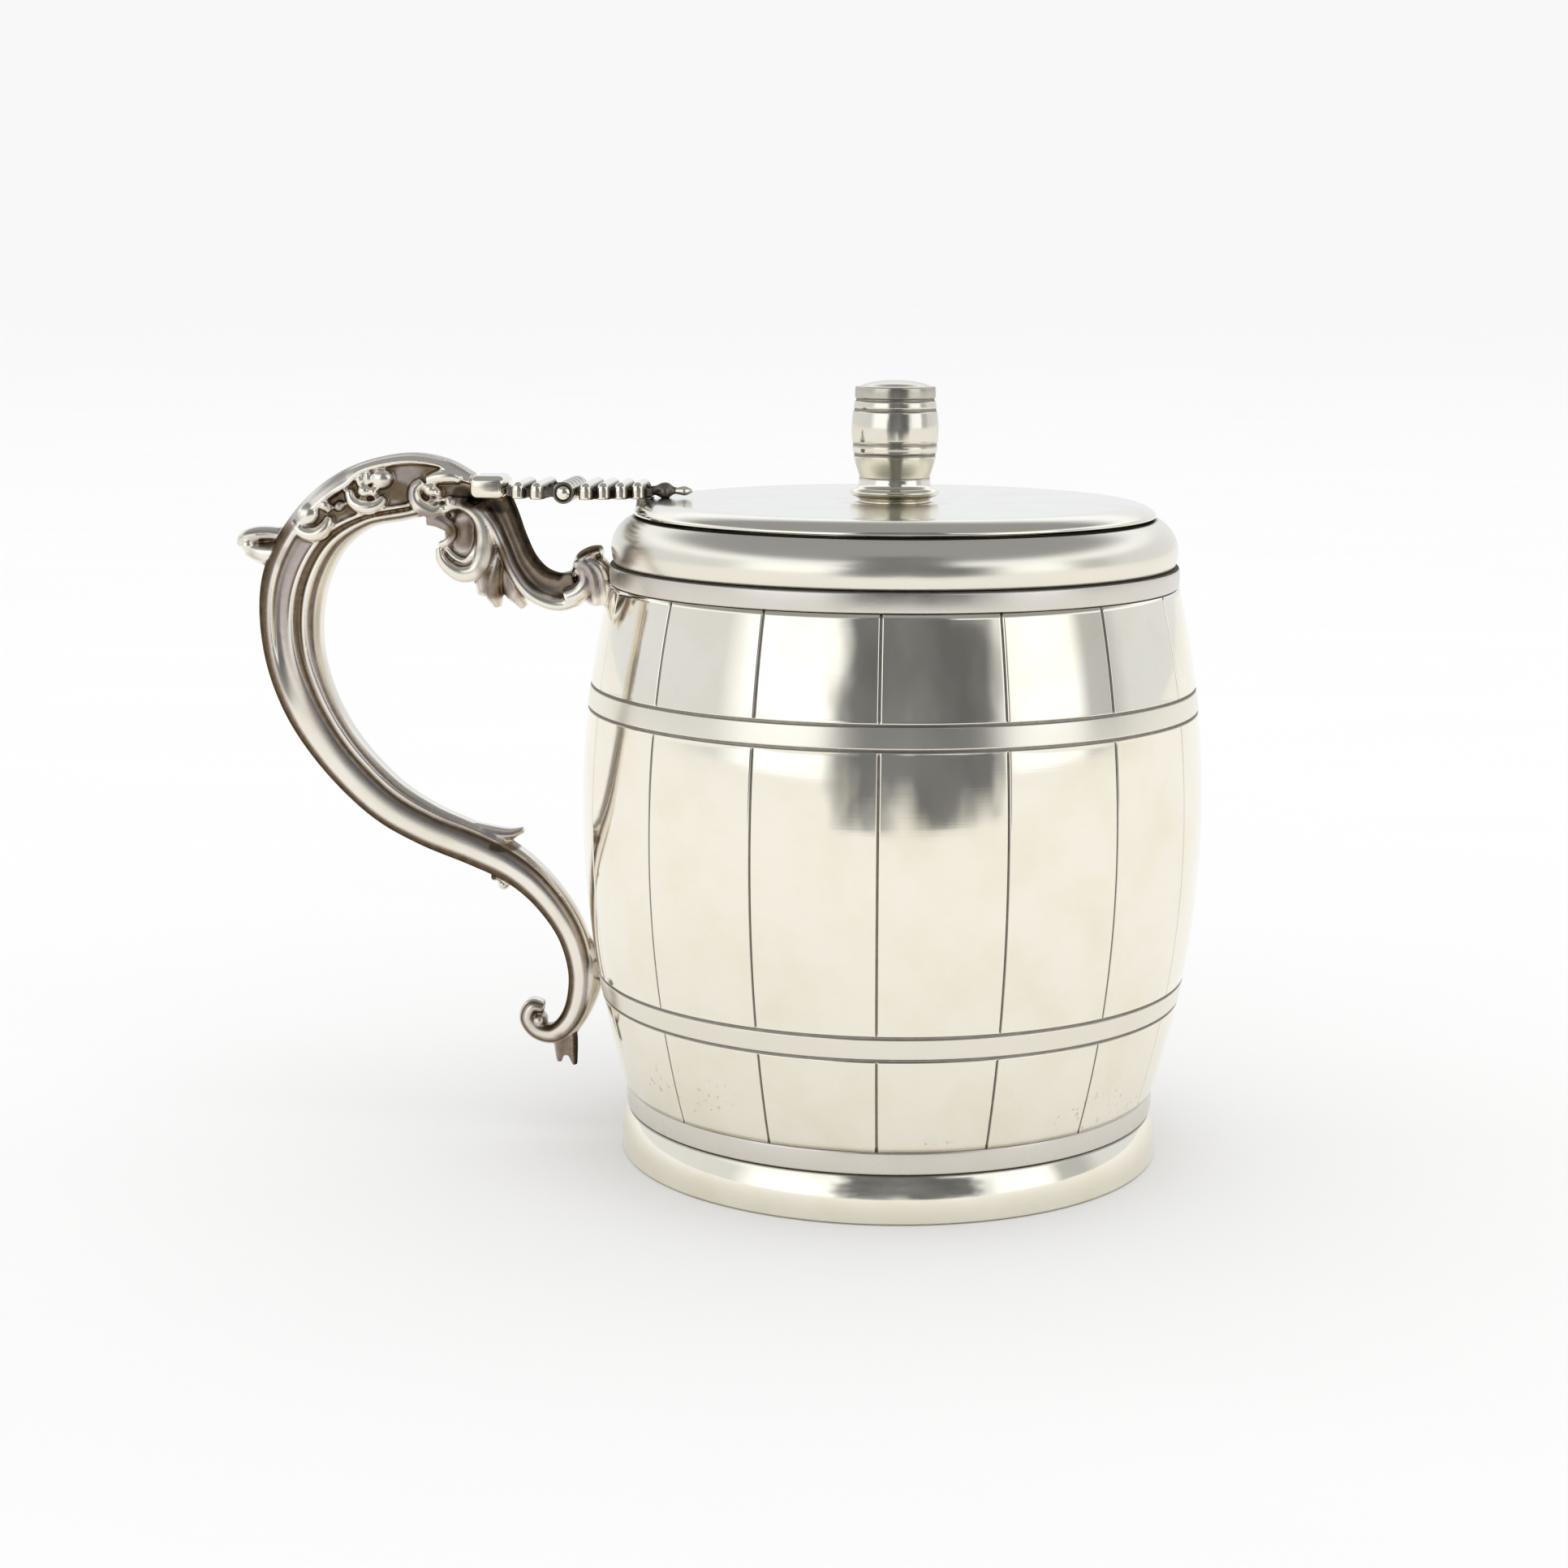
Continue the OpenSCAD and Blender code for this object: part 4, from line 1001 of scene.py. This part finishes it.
def bud_lumps():
    """Leaf bud on the handle's back: a leaf that hooks over a bead on each side, above a fuller body."""
    hook = [
        (-60.0, 60.2, 0.8), (-61.4, 60.35, 0.8), (-62.8, 60.25, 0.85), (-63.9, 59.9, 0.75),
        (-64.5, 59.2, 0.4)
    ]
    body = [(-60.2, 58.4, 1.7), (-61.6, 58.5, 1.35), (-62.9, 58.7, 1.05), (-63.9, 58.8, 0.6)]
    beads = both_sides(bead((-63.5, 0.95, 59.3), (0.62, 0.5, 0.6)))
    return middle_ridges([hook], 1.6) + middle_ridges([body], 1.3) + beads


def spur_lumps():
    """Curled leaf on the inside, where the C-scroll runs into the tail, and a small bead on the outside."""
    leaves = [
        [(-44.9, 32.9, 0.2), (-42.4, 31.6, 0.55), (-39.7, 30.9, 0.7), (-37.9, 30.75, 0.6),
         (-36.5, 31.2, 0.3)], [(-41.0, 30.0, 0.7), (-38.9, 29.6, 0.5), (-37.6, 30.0, 0.3)]
    ]
    beads = [bead((-38.6, 0, 25.6), (0.62, 1.0, 0.58)), bead((-39.5, 0, 26.3), (0.42, 0.7, 0.4))]
    return middle_ridges(leaves, 1.8) + beads


def tail_lumps():
    """Seat on the barrel, curl with its bead, and the leaf under the tail."""
    seat = [
        (-30.4, 20.6, 0.35), (-29.9, 18.6, 0.9), (-29.8, 16.6, 1.15), (-30.3, 14.4, 1.1),
        (-31.2, 12.2, 0.9), (-32.1, 10.6, 0.7)
    ]
    prongs = [
        [(-33.0, 10.0, 0.7), (-33.1, 8.8, 0.6), (-33.2, 7.4, 0.25)],
        [(-32.6, 9.9, 0.6), (-32.5, 8.8, 0.5), (-32.4, 8.1, 0.3)],
        [(-32.0, 10.2, 0.7), (-31.9, 8.7, 0.6), (-31.6, 7.1, 0.25)]
    ]
    beads = [bead((-35.1, 0, 11.8), (0.8, 1.35, 0.75)), bead((-36.0, 0, 13.1), (0.7, 1.1, 0.6))]
    return middle_ridges([seat] + prongs, 1.2) + beads


def volute_lumps():
    """Scrolled end under the block: a rounded outer band, a sunk field, a thin lip and a tongue."""
    outer = [
        (-44.0, 63.0, 1.0), (-42.4, 63.6, 1.1), (-41.0, 63.0, 1.2), (-40.1, 61.9, 1.5),
        (-39.8, 60.2, 1.7), (-40.0, 58.4, 1.8), (-40.7, 57.1, 1.7), (-42.0, 56.7, 1.6),
        (-43.2, 57.2, 1.35), (-44.1, 58.2, 1.1), (-44.3, 59.3, 0.8)
    ]
    band = ring_section([(0.5, 0.3), (0.42, 0.45), (0.15, 0.5), (-0.2, 0.48), (-0.42, 0.42), (-0.5, 0.28)])
    rows = spline([(x, z, w, 4.4) for x, z, w in outer], 10)
    lip = [
        (-43.6, 59.3, 0.28), (-43.1, 58.7, 0.3), (-42.5, 58.25, 0.32), (-41.7, 58.1, 0.32),
        (-41.0, 58.8, 0.3), (-40.6, 60.0, 0.26), (-40.6, 61.2, 0.22)
    ]
    tongue = [
        (-45.4, 62.2, 0.7), (-44.2, 62.0, 0.75), (-43.2, 61.3, 0.6), (-43.0, 60.5, 0.45),
        (-43.5, 59.9, 0.4), (-44.3, 59.6, 0.35)
    ]
    groove = [
        (-43.9, 58.9, 0.4), (-43.2, 58.0, 0.5), (-42.2, 57.6, 0.55), (-41.2, 57.9, 0.55),
        (-40.7, 58.8, 0.5)
    ]
    field = bead((-41.6, 0, 60.0), (2.5, 1.5, 3.5))
    fill = bead((-43.15, 0, 60.85), (0.55, 1.6, 0.95))
    lumps = [swept(rows, [band] * len(rows)), field, fill]
    return lumps + ridges([groove], 1.05) + ridges([lip], 1.5) + ridges([tongue], 1.7)


def bracket_lumps():
    """Ribbed arm to the neck, the leaf beside it and the curled leaf at its end."""
    arm = [
        (-39.6, 64.2, 4.2), (-38.3, 62.2, 3.2), (-37.3, 59.9, 2.8), (-36.3, 57.6, 3.0),
        (-34.8, 55.8, 3.4), (-32.8, 55.0, 3.6), (-31.0, 55.4, 3.4)
    ]
    channel = ring_section([
        (0.5, 0.25), (0.47, 0.42), (0.38, 0.5), (0.25, 0.5), (0.13, 0.42), (0.04, 0.31), (-0.1, 0.26),
        (-0.26, 0.26), (-0.42, 0.29), (-0.5, 0.2)
    ])
    rows = spline([(x, z, w, 4.2) for x, z, w in arm], 10)
    hook = [
        (-31.9, 54.5, 0.95), (-30.6, 55.1, 0.95), (-29.9, 56.1, 0.85), (-30.2, 57.1, 0.65),
        (-30.9, 57.2, 0.4)
    ]
    crest = [(-31.0, 57.0, 0.6), (-30.4, 58.2, 0.75), (-29.4, 58.8, 0.75), (-28.5, 59.1, 0.55)]
    rib = [
        (-31.0, 57.8, 0.45), (-30.0, 57.9, 0.55), (-29.2, 57.0, 0.6), (-28.9, 55.4, 0.6),
        (-28.8, 53.9, 0.45)
    ]
    ribs = [[(x + shift, z, r) for x, z, r in rib] for shift in (0.0, 0.9)]
    leaves = [
        [(-39.2, 58.6, 0.7), (-39.8, 56.8, 1.0), (-40.2, 55.4, 0.9), (-40.6, 54.6, 0.4)],
        [(-38.4, 59.4, 0.7), (-38.9, 57.0, 1.0), (-39.2, 55.0, 0.95), (-38.8, 53.4, 0.4)],
        [(-37.7, 58.6, 0.7), (-37.7, 56.6, 1.0), (-37.3, 55.0, 0.9), (-36.2, 53.4, 0.4)]
    ]
    root = bead((-40.2, 0, 63.6), (1.8, 1.6, 0.7))
    seat = bead((-29.2, 0, 56.2), (1.9, 1.8, 2.6))
    return ([swept(rows, [channel] * len(rows)), root, seat] + ridges([hook], 1.4) + ridges(ribs, 1.7)
            + middle_ridges([crest], 2.8) + middle_ridges(leaves, 1.7))


# Tarnish and painted shade along paths of x and z, with its reach, strength and evenness
HANDLE_TARNISH_AND_SHADE = [
    ([(-37.6, 63.8), (-36.8, 62.0), (-36.1, 60.2), (-35.3, 58.5), (-34.0, 57.2), (-32.8, 56.8)],
     1.05, 0.95, 1.0),
    ([(-38.8, 63.2), (-37.7, 60.6), (-36.7, 58.2), (-35.3, 56.5), (-33.2, 56.0), (-31.8, 56.3)],
     1.4, 0.62, 0.8),
    ([(-38.9, 58.8), (-38.8, 57.0), (-38.6, 55.6)], 2.2, 0.75, 0.75), ([(-41.8, 60.6)], 2.2, 0.66, 0.8),
    ([(-45.6, 62.4), (-44.2, 62.0), (-43.3, 61.0)], 1.2, 0.75, 0.6), ([(-42.0, 64.5)], 1.6, 0.9, 0.6),
    # The next path is painted shade under the strap block.
    ([(-41.4, 64.0), (-39.8, 63.7), (-38.2, 63.3)], 1.1, 0.95, 1.0),
    ([(-48.6, 64.9), (-47.6, 64.6)], 1.7, 0.78, 0.5), ([(-54.4, 63.6)], 1.5, 0.78, 0.4),
    ([(-59.8, 58.4)], 1.6, 0.6, 0.3),
    ([(-62.0, 59.6), (-61.2, 59.5)], 0.7, 0.78, 0.8), ([(-29.8, 57.6), (-29.0, 55.8)], 1.6, 0.62, 0.6),
    ([(-30.5, 58.9), (-29.3, 59.5), (-28.1, 59.8)], 0.7, 0.9, 0.8), ([(-34.9, 12.2)], 1.9, 0.85, 0.35),
    ([(-32.6, 9.6), (-32.5, 7.4)], 1.5, 0.6, 0.75), ([(-31.3, 10.2), (-31.3, 7.0)], 0.7, 0.95, 0.9),
    ([(-39.4, 29.7), (-38.2, 29.5), (-37.2, 29.8)], 0.7, 0.8, 0.6), ([(-39.6, 26.5)], 0.6, 0.9, 0.8)
]
# Painted highlights, where the tarnish is cleared: x, z and reach
HIGHLIGHT_SPOTS = [
    (-58.8, 64.2, 4.0), (-63.9, 59.2, 1.3), (-38.5, 25.5, 0.9), (-35.1, 11.8, 0.9), (-38.8, 53.5, 1.3),
    (-36.2, 53.5, 1.3), (-39.2, 60.2, 1.5), (-39.5, 58.3, 1.4)
]
HIGHLIGHT_CLEARING = 0.65
HOLLOW_LIMIT = 0.74
SHARE_STEPS = 201


def on_scroll(points, rows):
    """Nearest row of the middle line and share of its width towards the outside, for each point."""
    way = directions(rows[:, :2])
    flat = points[:, [0, 2]]
    block = 4000
    nearest = np.concatenate([
        np.linalg.norm(flat[k:k + block, None] - rows[None, :, :2], axis=2).argmin(1)
        for k in range(0, len(flat), block)
    ])
    away = flat - rows[nearest, :2]
    across = away[:, 0] * way[nearest, 1] - away[:, 1] * way[nearest, 0]
    return nearest, across / rows[nearest, 2]


def along_path(points, path, reach):
    """One on a path of x and z, falling to zero at reach."""
    line = spline(path, 8) if len(path) > 1 else path
    gap = np.full(len(points), reach)
    for x, z in line:
        gap = np.minimum(gap, np.hypot(points[:, 0] - x, points[:, 2] - z))
    return 1 - smoothstep(0.4, 1.0, gap / reach)


def handle_paint(points, normals, dark):
    """Tarnish and painted shade across the scroll's section and round the leaves, and painted highlights
    where the tarnish is cleared.
    """
    rows = handle_rows()
    nearest, share = on_scroll(points, rows)
    shares = np.linspace(-0.5, 0.5, SHARE_STEPS)
    halves = [reeded(row[4], row[5])[::-1] for row in rows]
    height = np.array([np.interp(shares, half[:, 0], half[:, 1]) for half in halves]) * rows[:, 3:4]
    stain = np.array([np.interp(shares, half[:, 0], half[:, 2]) for half in halves])
    column = np.clip(np.rint((share + 0.5) * (SHARE_STEPS - 1)), 0, SHARE_STEPS - 1).astype(int)
    depth = np.abs(points[:, 1])
    proud = depth - height[nearest, column]
    on = (1 - smoothstep(0.53, 0.6, np.abs(share))) * (1 - smoothstep(0.12, 0.35, proud))
    spine = smoothstep(0.42, 0.48, share) * (1 - smoothstep(0.06, 0.22, depth / rows[nearest, 3]))
    plain = on * smoothstep(61.0, 58.0, points[:, 2])
    dark = np.minimum(dark, HOLLOW_LIMIT) * (1 - 0.8 * plain)
    # Tarnish and painted shade from the section tables, with less painted shade on the back's spine.
    dark = np.maximum(dark, stain[nearest, column] * on * (1 - 0.6 * spine))
    for path, reach, strength, evenly in HANDLE_TARNISH_AND_SHADE:
        dark = np.maximum(dark, strength * along_path(points, path, reach) * np.clip(evenly + dark, 0, 1))
    # Painted highlights: tarnish cleared round the listed spots.
    for x, z, reach in HIGHLIGHT_SPOTS:
        dark = dark * (1 - HIGHLIGHT_CLEARING * along_path(points, [(x, z)], reach))
    return dark


HANDLE_NODES = [
    "handle_scroll", "handle_tail", "tail_leaf", "scroll_spur", "handle_volute", "handle_bud",
    "scroll_curls", "handle_bracket", "bracket_leaf", "bracket_terminal"
]


def handle():
    """The whole cast handle as one skin."""
    lumps = handle_lumps()
    piece = cast("cast_handle", lumps, voxel=0.12, soften=2, depth=0.28, sunk_at=1.75, paint=handle_paint)
    dress(piece, "pot_body", "aged_silver", *HANDLE_NODES)


def dress_nodes():
    """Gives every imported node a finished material."""
    for part in frame["record"]["subparts"]:
        node = frame["nodes"][part["node"]]
        node.data.materials.clear()
        node.data.materials.append(SLOTS[part["material_slot"]])


# Stage, light and camera

CAMERA_AT = (10.5, -278.4, 85.4)
CAMERA_YAW = -4.33
CAMERA_PITCH = 9.99
CAMERA_ROLL = 0.24
FOCAL_PX = 3540.0
FRAME_PX = 1932.0
SENSOR = 36.0
BACKDROP = 0.939
FLOOR_TONE = 0.935
FLOOR_R = 9.0
FLOOR_SIDES = 96
ROOM_TINT = (0.97, 1.0, 1.055)


def room_tone(level):
    """Colour of the mirrored room at a level of light."""
    return tuple(level * share for share in ROOM_TINT)


def floor():
    """Pale round floor that runs out into the backdrop."""
    mesh = bpy.data.meshes.new("floor")
    rim = [(FLOOR_R * math.cos(a), FLOOR_R * math.sin(a), -0.00005) for a in ring_angles(FLOOR_SIDES)]
    mesh.from_pydata(rim, [], [list(range(FLOOR_SIDES))])
    piece = add_object("floor", mesh)
    material = bpy.data.materials.new("pale_floor")
    n = Nodes(material)
    away = n.add("VectorMath", {0: n.place()}, operation="LENGTH").outputs["Value"]
    grain = n.range(n.noise(n.place((1.0, 3.0, 1.0)), 9.0, 5.0), 0.3, 0.7, 0.994, 1.006)
    near, far = (FLOOR_TONE,) * 3, (BACKDROP,) * 3
    shade = n.ramp(n.math("DIVIDE", away, FLOOR_R), [(0.0, near), (0.06, near), (0.4, far)])
    colour = n.add("VectorMath", {0: shade, "Scale": grain}, operation="SCALE").outputs[0]
    shader = n.add("BsdfDiffuse", {"Color": colour})
    n.surface(shader)
    mesh.materials.append(material)


def flag():
    """Dim card with a tall middle and soft edges behind the camera, which only reflections see."""
    mesh = bpy.data.meshes.new("flag")
    centre_x, half_x, y, high_z = 0.085, 0.25, -0.34, 0.24
    column_x, column_half, column_z = 0.04, 0.17, 0.6
    low_x, high_x = centre_x - half_x, centre_x + half_x
    corners = [(low_x, y, 0), (high_x, y, 0), (high_x, y, column_z), (low_x, y, column_z)]
    mesh.from_pydata(corners, [], [(0, 1, 2, 3)])
    piece = add_object("flag", mesh)
    material = bpy.data.materials.new("dim_card")
    n = Nodes(material)
    place = n.place()
    blur = n.noise(place, 11.0, 3.0)
    at = n.add("SeparateXYZ", {0: place}).outputs

    def outside(middle, half, high):
        aside = n.math("DIVIDE", n.math("ABSOLUTE", n.math("SUBTRACT", at[0], middle)), half)
        above = n.math("DIVIDE", at[2], high)
        return n.math("MAXIMUM", aside, n.math("MULTIPLY", above, above))

    edge = n.math("MINIMUM", outside(centre_x, half_x, high_z), outside(column_x, column_half, column_z))
    edge = n.math("MAXIMUM", edge, n.range(at[2], 0.0, 0.05, 0.72, 0.5))
    edge = n.math("ADD", edge, n.range(blur, 0.3, 0.7, -0.12, 0.12))
    tone = n.ramp(n.noise(place, 9.0, 3.0), [(0.35, room_tone(0.145)), (0.65, room_tone(0.22))])
    light = n.add("Emission", {"Color": tone, "Strength": 1.0})
    clear = n.add("BsdfTransparent")
    share = n.range(edge, 0.6, 0.85)
    mixed = n.add("MixShader", {0: share, 1: light.outputs[0], 2: clear.outputs[0]})
    n.surface(mixed)
    mesh.materials.append(material)
    for ray in ("camera", "diffuse", "shadow", "transmission", "volume_scatter"):
        setattr(piece, "visible_" + ray, False)


# Light of the mirrored room by its angle from the camera's side, in degrees
ROOM_LIGHT = [
    (-180, 0.93), (-120, 0.84), (-66, 0.8), (-54, 1.3), (-20, 1.35), (-12, 1.0), (0, 0.7), (34, 0.7),
    (44, 0.9), (50, 1.25), (74, 1.3), (80, 0.58), (92, 0.55), (102, 0.8), (140, 0.84), (180, 0.93)
]


def world():
    """Soft studio: bright panels left and right of the camera, a dim room behind it, pale elsewhere."""
    sky = bpy.data.worlds.new("studio")
    bpy.context.scene.world = sky
    n = Nodes(sky)
    way = n.add("SeparateXYZ", {0: n.add("TexCoord").outputs["Generated"]}).outputs
    turn = n.math("ARCTAN2", way[0], n.math("MULTIPLY", way[1], -1.0))
    share = n.range(turn, -math.pi, math.pi)
    room = n.ramp(share, [((a + 180) / 360, room_tone(v)) for a, v in ROOM_LIGHT])
    room = n.mix(n.range(way[2], 0.3, 0.42), room, (*room_tone(1.15), 1))
    room = n.mix(n.range(way[2], 0.5, 0.66), room, (*room_tone(0.34), 1))
    path = n.add("LightPath").outputs
    shown = n.mix(path["Is Glossy Ray"], (1.0, 1.0, 1.0, 1), room)
    plain = n.math("MAXIMUM", path["Is Camera Ray"], path["Is Transmission Ray"])
    seen = n.mix(plain, shown, (BACKDROP, BACKDROP, BACKDROP, 1))
    light = n.add("Background", {"Color": seen, "Strength": 1.0})
    n.surface(light, "World")


def lamp(name, at, aim, size, power):
    """Soft rectangular lamp that reflections don't see."""
    light = bpy.data.lights.new(name, "AREA")
    light.shape = "RECTANGLE"
    light.size, light.size_y = size
    light.energy = power
    holder = add_object(name, light)
    holder.location = at
    holder.rotation_euler = (Vector(aim) - Vector(at)).to_track_quat("-Z", "Y").to_euler()
    holder.visible_glossy = False


def camera():
    """Camera at the photograph's place and angle."""
    yaw, pitch, roll = (math.radians(a) for a in (CAMERA_YAW, CAMERA_PITCH, CAMERA_ROLL))
    ahead = Vector((math.sin(yaw) * math.cos(pitch), math.cos(yaw) * math.cos(pitch), -math.sin(pitch)))
    right = Vector((math.cos(yaw), -math.sin(yaw), 0))
    up = right.cross(ahead)
    side = math.cos(roll) * right + math.sin(roll) * up
    over = math.cos(roll) * up - math.sin(roll) * right
    data = bpy.data.cameras.new("camera")
    data.sensor_width = SENSOR
    data.lens = FOCAL_PX / FRAME_PX * SENSOR
    data.clip_start = 0.01
    holder = add_object("camera", data)
    turn = Matrix((side, over, -ahead)).transposed().to_4x4()
    holder.matrix_world = Matrix.Translation(Vector(CAMERA_AT) * MM) @ turn
    bpy.context.scene.camera = holder


camera()
dress_nodes()
barrel()
foot()
neck()
lid()
knob()
flange()
liner()
straps()
post()
pin()
strap_block()
handle()
floor()
flag()
world()
lamp("overhead", (0.3, -0.4, 2.2), (0, 0, 0.03), (1.2, 1.2), 4.0)
bpy.context.scene.view_settings.view_transform = "Standard"
